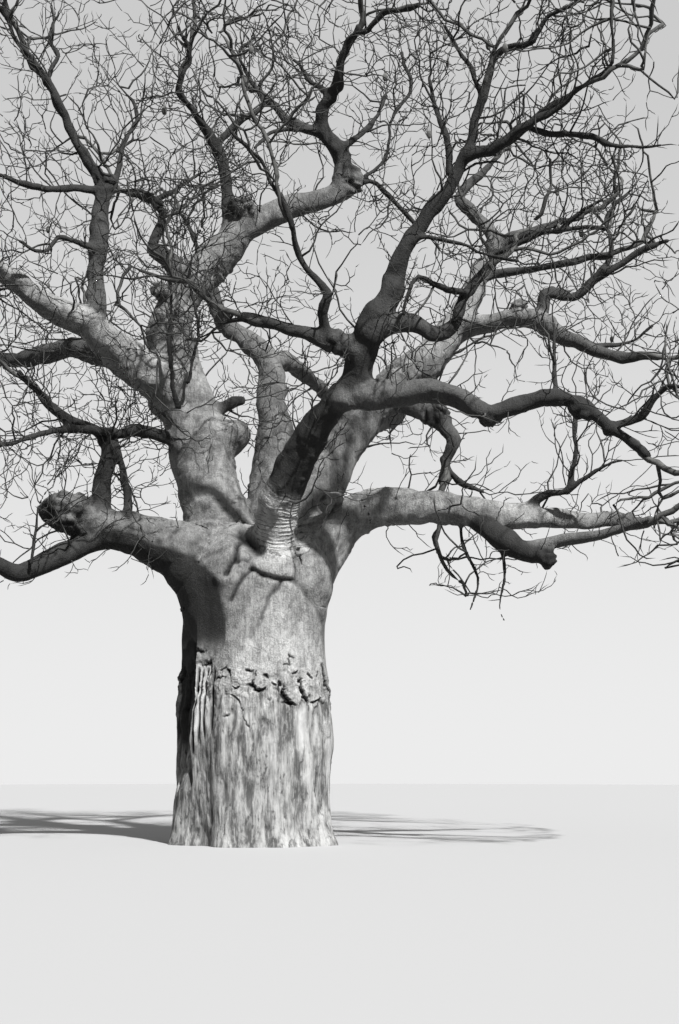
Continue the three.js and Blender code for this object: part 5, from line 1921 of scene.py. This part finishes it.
def twig_parts(grown):
    """The twigs of each piece as groups of like tubes."""
    pieces = place_pieces()
    parts = {name: [] for name in TWIG_PIECES}
    stems = np.minimum(TWIG_ORDERS[0]["radius"], STEM_SHARE * twig_masses()["radii"])
    for order, (places, lengths, shoots) in enumerate(grown):
        size = TWIG_ORDERS[order]
        piece = pieces[shoots["mass"]]
        for length in range(1, size["steps"] + 1):
            for number, name in enumerate(TWIG_PIECES):
                rows = np.flatnonzero((lengths == length) & (piece == number))
                if not len(rows):
                    continue
                path = kinked(places[rows, :length + 1], shoots["key"][rows], size["kinks"])
                foot = stems[shoots["mass"][rows]] if order == 0 else size["radius"]
                foot = np.broadcast_to(foot, len(rows))[:, None]
                taper = np.linspace(0, 1, path.shape[1])
                radii = foot + (size["tip"] - foot) * taper
                parts[name].append((path, radii, size["sides"], order / len(TWIG_ORDERS)))
    return parts


def pod_places():
    """The tips of the twigs that bear pods, and a size for each, by seeded draws."""
    places, lengths, shoots = grow_tree()[POD_ORDER]
    names = twig_masses()["names"]
    bearing = np.isin(shoots["mass"], [names.index(name) for name in POD_LIMBS])
    rows = np.flatnonzero(bearing & (lengths > 0))
    rows = rows[np.argsort(draw(shoots["key"][rows], DRAW_POD))[:POD_COUNT]]
    tips = crooked(places[rows, lengths[rows]])
    return tips, 1 + POD_VARIETY * swing(shoots["key"][rows], DRAW_POD_SIZE)


def add_pod(bm, tip, size):
    """One pod on its stalk, hanging straight down from a twig's tip."""
    stalk = POD_STALK * size
    bmesh.ops.create_cone(bm, cap_ends=True, segments=4, radius1=POD_STALK_WIDTH / 2,
                          radius2=POD_STALK_WIDTH / 2, depth=stalk,
                          matrix=Matrix.Translation(tip - Vector((0, 0, stalk / 2))))
    middle = tip - Vector((0, 0, stalk + POD_OVERLAP * POD_LENGTH * size))
    shape = Matrix.Diagonal((POD_WIDTH * size, POD_WIDTH * size, POD_LENGTH * size, 1))
    bmesh.ops.create_uvsphere(bm, u_segments=10, v_segments=7, radius=0.5,
                              matrix=Matrix.Translation(middle) @ shape)


def node_in(tree, kind, values=None, **settings):
    """A shader node with its settings and socket values."""
    node = tree.nodes.new(kind)
    for field, value in settings.items():
        setattr(node, field, value)
    for socket, value in (values or {}).items():
        if isinstance(value, bpy.types.NodeSocket):
            tree.links.new(value, node.inputs[socket])
        else:
            node.inputs[socket].default_value = value
    return node


def maths(tree, operation, a, b=0.0):
    return node_in(tree, "ShaderNodeMath", {0: a, 1: b}, operation=operation).outputs[0]


def product(tree, a, b):
    return maths(tree, "MULTIPLY", a, b)


def weighted_sum(tree, *parts):
    """The sum of several values, each times its weight."""
    weighed = [product(tree, value, weight) for value, weight in parts]
    return functools.reduce(functools.partial(maths, tree, "ADD"), weighed)


def mix_of(tree, share, a, b, blend="MIX"):
    """One colour mixed into another."""
    node = node_in(tree, "ShaderNodeMix", {0: share, 6: a, 7: b},
                   data_type="RGBA", blend_type=blend)
    return node.outputs[2]


def ranged(tree, value, low, high, to_low=0.0, to_high=1.0):
    node = node_in(tree, "ShaderNodeMapRange",
                   {0: value, 1: low, 2: high, 3: to_low, 4: to_high},
                   interpolation_type="SMOOTHSTEP")
    return node.outputs[0]


def noise_of(tree, vector, scale, detail=4.0, roughness=0.55, distortion=0.0):
    node = node_in(tree, "ShaderNodeTexNoise",
                   {"Vector": vector, "Scale": scale, "Detail": detail, "Roughness": roughness,
                    "Distortion": distortion})
    return node.outputs["Fac"]


def stretched(tree, vector, scale):
    node = node_in(tree, "ShaderNodeMapping", {"Vector": vector, "Scale": scale})
    return node.outputs[0]


def new_group(name, inputs, outputs):
    """An empty shader node group with named sockets, and its input and output nodes."""
    tree = bpy.data.node_groups.new(name, "ShaderNodeTree")
    kinds = {"value": "NodeSocketFloat", "colour": "NodeSocketColor", "vector": "NodeSocketVector"}
    for socket, kind, default in inputs:
        item = tree.interface.new_socket(socket, in_out="INPUT", socket_type=kinds[kind])
        if default is not None:
            item.default_value = default
    for socket, kind in outputs:
        tree.interface.new_socket(socket, in_out="OUTPUT", socket_type=kinds[kind])
    return tree, tree.nodes.new("NodeGroupInput").outputs, tree.nodes.new("NodeGroupOutput").inputs


def mottled_bark_group():
    """Pale and dark patches of weathered bark at three sizes, with small pits."""
    tree, given, put = new_group(
        "mottled_bark",
        (("Vector", "vector", None), ("Pale", "colour", (0.5, 0.5, 0.5, 1)),
         ("Dark", "colour", (0.1, 0.1, 0.1, 1))),
        (("Color", "colour"), ("Height", "value")))
    patches_of_bark = noise_of(tree, given["Vector"], scale=1.1, detail=3)
    mottle = noise_of(tree, given["Vector"], scale=6.5, detail=8, roughness=0.65, distortion=0.4)
    speckle = noise_of(tree, given["Vector"], scale=34, detail=4, roughness=0.7)
    fine = weighted_sum(tree, (mottle, 0.8), (speckle, 0.8))
    whole = maths(tree, "ADD", product(tree, patches_of_bark, 0.6), fine)
    share = ranged(tree, whole, 0.84, 1.3)
    tree.links.new(mix_of(tree, share, given["Dark"], given["Pale"]), put["Color"])
    tree.links.new(fine, put["Height"])
    return tree


def ring_wrinkle_group():
    """Fine wrinkles that run round a limb, uneven and broken here and there."""
    tree, given, put = new_group(
        "ring_wrinkles",
        (("Run", "value", 0.0), ("Vector", "vector", None), ("Spacing", "value", 0.075),
         ("Amount", "value", 1.0)),
        (("Line", "value"), ("Height", "value")))
    sway = noise_of(tree, given["Vector"], scale=2, detail=3)
    turns = maths(tree, "ADD", maths(tree, "DIVIDE", given["Run"], given["Spacing"]), sway)
    wave = maths(tree, "SINE", product(tree, turns, 2 * math.pi))
    broken = ranged(tree, noise_of(tree, given["Vector"], scale=5.5, detail=2), 0.36, 0.55)
    amount = product(tree, broken, given["Amount"])
    tree.links.new(product(tree, ranged(tree, wave, 0.55, 0.95), amount), put["Line"])
    tree.links.new(product(tree, wave, amount), put["Height"])
    return tree


def wood_fibre_group():
    """Long upright fibres and streaks of wood, pale and dark."""
    tree, given, put = new_group(
        "wood_fibres",
        (("Vector", "vector", None), ("Pale", "colour", (0.7, 0.7, 0.7, 1)),
         ("Dark", "colour", (0.2, 0.2, 0.2, 1))),
        (("Color", "colour"), ("Height", "value")))

    def streaky(size, detail, roughness, distortion=0.0):
        vector = stretched(tree, given["Vector"], size)
        return noise_of(tree, vector, 1, detail, roughness, distortion)

    fibres = streaky((22, 22, 2.6), 6, 0.7, 0.3)
    streaks = streaky((4.2, 4.2, 0.7), 5, 0.6, 0.6)
    blotches = streaky((4, 4, 2), 6, 0.7, 0.5)
    specks = ranged(tree, streaky((9, 9, 5), 3, 0.6), 0.55, 0.75, 0.0, 0.25)
    whole = weighted_sum(tree, (fibres, 0.75), (streaks, 0.9), (blotches, 0.7), (specks, -1))
    share = ranged(tree, whole, 0.98, 1.4)
    tree.links.new(mix_of(tree, share, given["Dark"], given["Pale"]), put["Color"])
    tree.links.new(maths(tree, "ADD", fibres, blotches), put["Height"])
    return tree


def placed_group(tree, group, values):
    return node_in(tree, "ShaderNodeGroup", values, node_tree=group).outputs


def new_material(name):
    """A new material, its node tree, its shader and the object's coordinates."""
    material = bpy.data.materials.new(name)
    material.use_nodes = True
    tree = material.node_tree
    vector = tree.nodes.new("ShaderNodeTexCoord").outputs["Object"]
    return material, tree, tree.nodes["Principled BSDF"], vector


def matt_surface(tree, shader, surface, roughness, height, strength, distance):
    """Gives a shader its colour, its roughness and the bumps of its surface."""
    tree.links.new(surface, shader.inputs["Base Color"])
    shader.inputs["Roughness"].default_value = roughness
    bump = node_in(tree, "ShaderNodeBump",
                   {"Height": height, "Strength": strength, "Distance": distance})
    tree.links.new(bump.outputs[0], shader.inputs["Normal"])


def attribute_in(tree, name):
    return node_in(tree, "ShaderNodeAttribute", attribute_name=name).outputs["Fac"]


def colour(value):
    return (*value, 1)


def bark_skin(tree, mottle, rings, fibres, upright):
    """Colour of the living bark: mottled, lined round the collar and streaked elsewhere, and
    darkened by its tone, which also carries painted shade.
    """
    colours = bpy.context.scene.baobab_colours
    lined = product(tree, rings["Line"], 0.8)
    skin = mix_of(tree, lined, mottle["Color"], colour(colours.wrinkle))
    grain = ranged(tree, fibres["Height"], 0.8, 1.15, 0.6, 1.0)
    skin = mix_of(tree, upright, skin, grain, "MULTIPLY")
    # The tone darkens the bark, and carries the painted shade of the low left side.
    darkening_and_shade = ranged(tree, attribute_in(tree, "tone"), 1.0, 0.3)
    return mix_of(tree, darkening_and_shade, skin, colour(colours.dark_bark_and_painted_shade))


def bark_material(groups):
    """Bark of trunk and boughs, with the stripped wood where the bark is torn away."""
    colours = bpy.context.scene.baobab_colours
    material, tree, shader, vector = new_material("baobab_bark")
    bare, ring = attribute_in(tree, "bare"), attribute_in(tree, "ring")
    mottle = placed_group(tree, groups["mottle"], {
        "Vector": vector, "Pale": colour(colours.bark_pale), "Dark": colour(colours.bark_dark)})
    rings = placed_group(tree, groups["rings"], {
        "Run": attribute_in(tree, "run"), "Vector": vector, "Amount": ring})
    fibres = placed_group(tree, groups["fibres"], {
        "Vector": vector, "Pale": colour(colours.stripped_wood),
        "Dark": colour(colours.stripped_shade)})
    upright = maths(tree, "SUBTRACT", 1.0, ring)
    skin = bark_skin(tree, mottle, rings, fibres, upright)
    fresh = product(tree, attribute_in(tree, "fresh"), 0.8)
    wood = mix_of(tree, fresh, fibres["Color"], colour(colours.fresh_wood))
    surface = mix_of(tree, bare, skin, wood)
    # Painted shade in creases, hollows and under torn lips, and the dark patches of wood, mixed
    # towards the crevice shade colour.
    surface = mix_of(tree, attribute_in(tree, "shade_and_dark_wood"), surface, colour(colours.painted_crevice_shade))
    height = weighted_sum(tree, (mottle["Height"], 1.0), (rings["Height"], 0.3),
                          (fibres["Height"], upright))
    height = node_in(tree, "ShaderNodeMix", {0: bare, 2: height, 3: fibres["Height"]}).outputs[0]
    matt_surface(tree, shader, surface, 0.9, height, strength=0.9, distance=0.03)
    shader.inputs["Specular IOR Level"].default_value = 0.25
    return material


def twig_material(groups):
    """Dark twig bark, a little paler on the thick stems."""
    colours = bpy.context.scene.baobab_colours
    material, tree, shader, vector = new_material("baobab_twigs")
    mottle = placed_group(tree, groups["mottle"], {
        "Vector": vector, "Pale": colour(colours.twig_pale), "Dark": colour(colours.twig_dark)})
    aged = mix_of(tree, attribute_in(tree, "age"), mottle["Color"], colour(colours.twig_dark))
    matt_surface(tree, shader, aged, 0.85, mottle["Height"], strength=0.4, distance=0.004)
    shader.inputs["Specular IOR Level"].default_value = 0.25
    return material


def pod_material(groups):
    """Velvet skin of a pod."""
    colours = bpy.context.scene.baobab_colours
    material, tree, shader, vector = new_material("baobab_pods")
    mottle = placed_group(tree, groups["mottle"], {
        "Vector": stretched(tree, vector, (4, 4, 4)), "Pale": colour(colours.pod),
        "Dark": colour(colours.twig_dark)})
    matt_surface(tree, shader, mottle["Color"], 0.8, mottle["Height"], strength=0.3,
                 distance=0.003)
    shader.inputs["Sheen Weight"].default_value = 0.4
    return material


@functools.lru_cache(maxsize=None)
def materials():
    groups = {"mottle": mottled_bark_group(), "rings": ring_wrinkle_group(),
              "fibres": wood_fibre_group()}
    return {"bark": bark_material(groups), "twig": twig_material(groups),
            "pod": pod_material(groups)}


def finish_piece(piece, slot, *nodes):
    """Ties a piece to the tree's body and hides the solids that it stands for. The slot is not used.
    """
    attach(piece, BODY)
    if nodes:
        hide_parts(*nodes)


def shade(name, description, value):
    return bpy.props.FloatVectorProperty(name=name, description=description, default=value,
                                         subtype="COLOR", size=3, min=0, max=1)


class BaobabSizes(bpy.types.PropertyGroup):
    """Sizes that change how rough and how fine the tree is."""

    relief: bpy.props.FloatProperty(
        name="Bark relief", description="How far the bark's folds and lumps stand out, as a share",
        default=1.0, min=0, max=2)
    skin_step: bpy.props.FloatProperty(
        name="Skin step", description="Size of the faces in the skin of fork and boughs",
        default=0.04, min=0.03, max=0.1, unit="LENGTH")
    floor_radius: bpy.props.FloatProperty(
        name="Floor radius", description="How far the floor reaches from the trunk",
        default=FLOOR_RADIUS, min=20, max=200, unit="LENGTH")


class BaobabColours(bpy.types.PropertyGroup):
    """Colours of bark, wood, twigs, pods and floor."""

    bark_pale: shade("Pale bark", "Colour of the pale patches of the bark", (0.66, 0.66, 0.65))
    bark_dark: shade("Dark bark", "Colour of the dark patches of the bark", (0.3, 0.3, 0.295))
    wrinkle: shade("Wrinkles", "Colour of the rings that run round a limb", (0.14, 0.14, 0.137))
    # The darkest limbs and the painted shade are mixed towards this colour.
    dark_bark_and_painted_shade: shade("Darkest bark and painted shade", "Colour of the darkest limbs", (0.04, 0.04, 0.039))
    stripped_wood: shade("Stripped wood", "Colour of the pale stripped wood", (0.58, 0.58, 0.57))
    stripped_shade: shade("Wood streaks", "Colour of the dark streaks in it", (0.11, 0.11, 0.108))
    fresh_wood: shade("Fresh wood", "Colour of the splintered strip", (0.76, 0.76, 0.75))
    # Painted shade deep in folds, grooves and hollows and under torn lips.
    painted_crevice_shade: shade("Crevice shade", "Colour deep in folds and under torn lips", (0.012, 0.012, 0.012))
    twig_pale: shade("Twig bark", "Colour of the thicker twigs", (0.13, 0.13, 0.125))
    twig_dark: shade("Fine twigs", "Colour of the finest twigs", (0.045, 0.045, 0.044))
    pod: shade("Pods", "Colour of the hanging pods", (0.16, 0.16, 0.15))
    floor: shade("Floor", "Colour of the plain floor", (0.47, 0.47, 0.47))


class BAOBAB_OT_trunk(bpy.types.Operator):
    """Makes the trunk under the fork, with its torn bark and stripped wood"""

    bl_idname = "baobab.trunk"
    bl_label = "Trunk"

    def execute(self, context):
        mesh = trunk_below_fork()
        dress_skin(mesh)
        normals = read_normals(mesh)
        bm = bmesh.new()
        bm.from_mesh(mesh)
        close_holes(bm)
        bm.to_mesh(mesh)
        bm.free()
        shade_smooth(mesh)
        mesh.normals_split_custom_set_from_vertices(normals)
        piece = new_object("trunk_bark", mesh, [materials()["bark"]])
        finish_piece(piece, "trunk_bark", "trunk")
        return {"FINISHED"}


class BAOBAB_OT_boughs(bpy.types.Operator):
    """Makes the skin of the fork and of all boughs, in four pieces"""

    bl_idname = "baobab.boughs"
    bl_label = "Fork and boughs"

    def execute(self, context):
        skin, part = joined_skin()
        for index, name in enumerate(("fork_bark", *BOUGH_PIECES)):
            mesh = skin_part(skin, part == index, name)
            piece = new_object(name, mesh, [materials()["bark"]])
            finish_piece(piece, "bough_bark", *BOUGH_PIECES.get(name, ()))
        bpy.data.meshes.remove(skin)
        return {"FINISHED"}


class BAOBAB_OT_twigs(bpy.types.Operator):
    """Grows the twigs from the boughs' tips and sides, order by order"""

    bl_idname = "baobab.twigs"
    bl_label = "Twigs"

    def execute(self, context):
        masses = twig_masses()["names"]
        for name, parts in twig_parts(grow_tree()).items():
            piece = new_object(name, twig_mesh(name, parts), [materials()["twig"]])
            nodes = [f"{limb}_twigs" for limb in TWIG_PIECES[name] if limb in masses]
            finish_piece(piece, "twig_bark", *nodes)
        return {"FINISHED"}


class BAOBAB_OT_pods(bpy.types.Operator):
    """Hangs a few pods from the twigs"""

    bl_idname = "baobab.pods"
    bl_label = "Pods"

    def execute(self, context):
        bm = bmesh.new()
        for tip, size in zip(*pod_places()):
            add_pod(bm, Vector(tip), size)
        mesh = mesh_from(bm, "pods")
        shade_smooth(mesh)
        finish_piece(new_object("pods", mesh, [materials()["pod"]]), "twig_bark")
        return {"FINISHED"}


class BAOBAB_OT_stage(bpy.types.Operator):
    """Sets up the plain floor, the soft light and the camera"""

    bl_idname = "baobab.stage"
    bl_label = "Stage"

    def execute(self, context):
        make_floor(context)
        make_light(context)
        make_camera(context)
        return {"FINISHED"}


def make_floor(context):
    bm = bmesh.new()
    bmesh.ops.create_circle(bm, cap_ends=True, segments=FLOOR_CORNERS,
                            radius=context.scene.baobab_sizes.floor_radius)
    mesh = mesh_from(bm, "floor")
    material = bpy.data.materials.new("plain_floor")
    material.use_nodes = True
    shader = material.node_tree.nodes["Principled BSDF"]
    shader.inputs["Base Color"].default_value = colour(context.scene.baobab_colours.floor)
    shader.inputs["Roughness"].default_value = 0.95
    floor = new_object("floor", mesh, [material])
    floor.visible_diffuse = False


def make_light(context):
    """A broad key from the right and above, and a pale sky with a weaker fill."""
    key = bpy.data.lights.new("key", "SUN")
    key.energy = KEY_STRENGTH
    key.angle = math.radians(KEY_SOFTNESS)
    lamp = bpy.data.objects.new("key", key)
    azimuth, height = math.radians(KEY_AZIMUTH), math.radians(KEY_HEIGHT)
    from_key = Vector((math.sin(azimuth) * math.cos(height),
                       -math.cos(azimuth) * math.cos(height), math.sin(height)))
    lamp.rotation_euler = from_key.to_track_quat("Z", "Y").to_euler()
    context.scene.collection.objects.link(lamp)
    context.scene.view_settings.view_transform = "Standard"
    context.scene.world = pale_sky()


def pale_sky():
    """The world: what the camera sees, paler near the horizon, and the fill that it gives."""
    world = bpy.data.worlds.new("pale_sky")
    world.use_nodes = True
    tree = world.node_tree
    direction = tree.nodes.new("ShaderNodeTexCoord").outputs["Generated"]
    height = node_in(tree, "ShaderNodeSeparateXYZ", {0: direction}).outputs["Z"]
    fill = tree.nodes["Background"]
    fill.inputs["Color"].default_value = (1, 1, 1, 1)
    tree.links.new(ranged(tree, height, -0.2, 0.3, FILL_BELOW, FILL_ABOVE),
                   fill.inputs["Strength"])
    shade_of_sky = mix_of(tree, ranged(tree, height, 0.0, 0.5), SKY_LOW, SKY_HIGH)
    seen = node_in(tree, "ShaderNodeBackground", {"Color": shade_of_sky, "Strength": 1.0})
    by_camera = tree.nodes.new("ShaderNodeLightPath").outputs["Is Camera Ray"]
    mixed = node_in(tree, "ShaderNodeMixShader",
                    {0: by_camera, 1: fill.outputs[0], 2: seen.outputs[0]})
    tree.links.new(mixed.outputs[0], tree.nodes["World Output"].inputs["Surface"])
    return world


def make_camera(context):
    """The camera of the photograph: eye height, tilted up."""
    data = bpy.data.cameras.new("camera")
    data.lens = CAMERA_LENS
    data.sensor_width = CAMERA_SENSOR
    data.clip_end = CAMERA_SIGHT
    camera = bpy.data.objects.new("camera", data)
    camera.location = CAMERA_PLACE
    camera.rotation_euler = (math.radians(90 + CAMERA_PITCH), 0, 0)
    context.scene.collection.objects.link(camera)
    context.scene.camera = camera


class BAOBAB_PT_panel(bpy.types.Panel):
    """Lists the pieces of the tree"""

    bl_label = "Baobab tree"
    bl_idname = "BAOBAB_PT_panel"
    bl_space_type = "VIEW_3D"
    bl_region_type = "UI"
    bl_category = "Baobab"

    def draw(self, context):
        for operator in STEPS:
            self.layout.operator(operator.bl_idname)
        for group in (context.scene.baobab_sizes, context.scene.baobab_colours):
            for field in group.__annotations__:
                self.layout.prop(group, field)


STEPS = (BAOBAB_OT_stage, BAOBAB_OT_trunk, BAOBAB_OT_boughs, BAOBAB_OT_twigs, BAOBAB_OT_pods)
CLASSES = (BaobabSizes, BaobabColours, *STEPS, BAOBAB_PT_panel)


def register():
    for item in CLASSES:
        bpy.utils.register_class(item)
    bpy.types.Scene.baobab_sizes = bpy.props.PointerProperty(type=BaobabSizes)
    bpy.types.Scene.baobab_colours = bpy.props.PointerProperty(type=BaobabColours)


def unregister():
    del bpy.types.Scene.baobab_colours
    del bpy.types.Scene.baobab_sizes
    for item in reversed(CLASSES):
        bpy.utils.unregister_class(item)


def main():
    register()
    for operator in STEPS:
        group, name = operator.bl_idname.split(".")
        getattr(getattr(bpy.ops, group), name)()


if __name__ == "__main__":
    main()
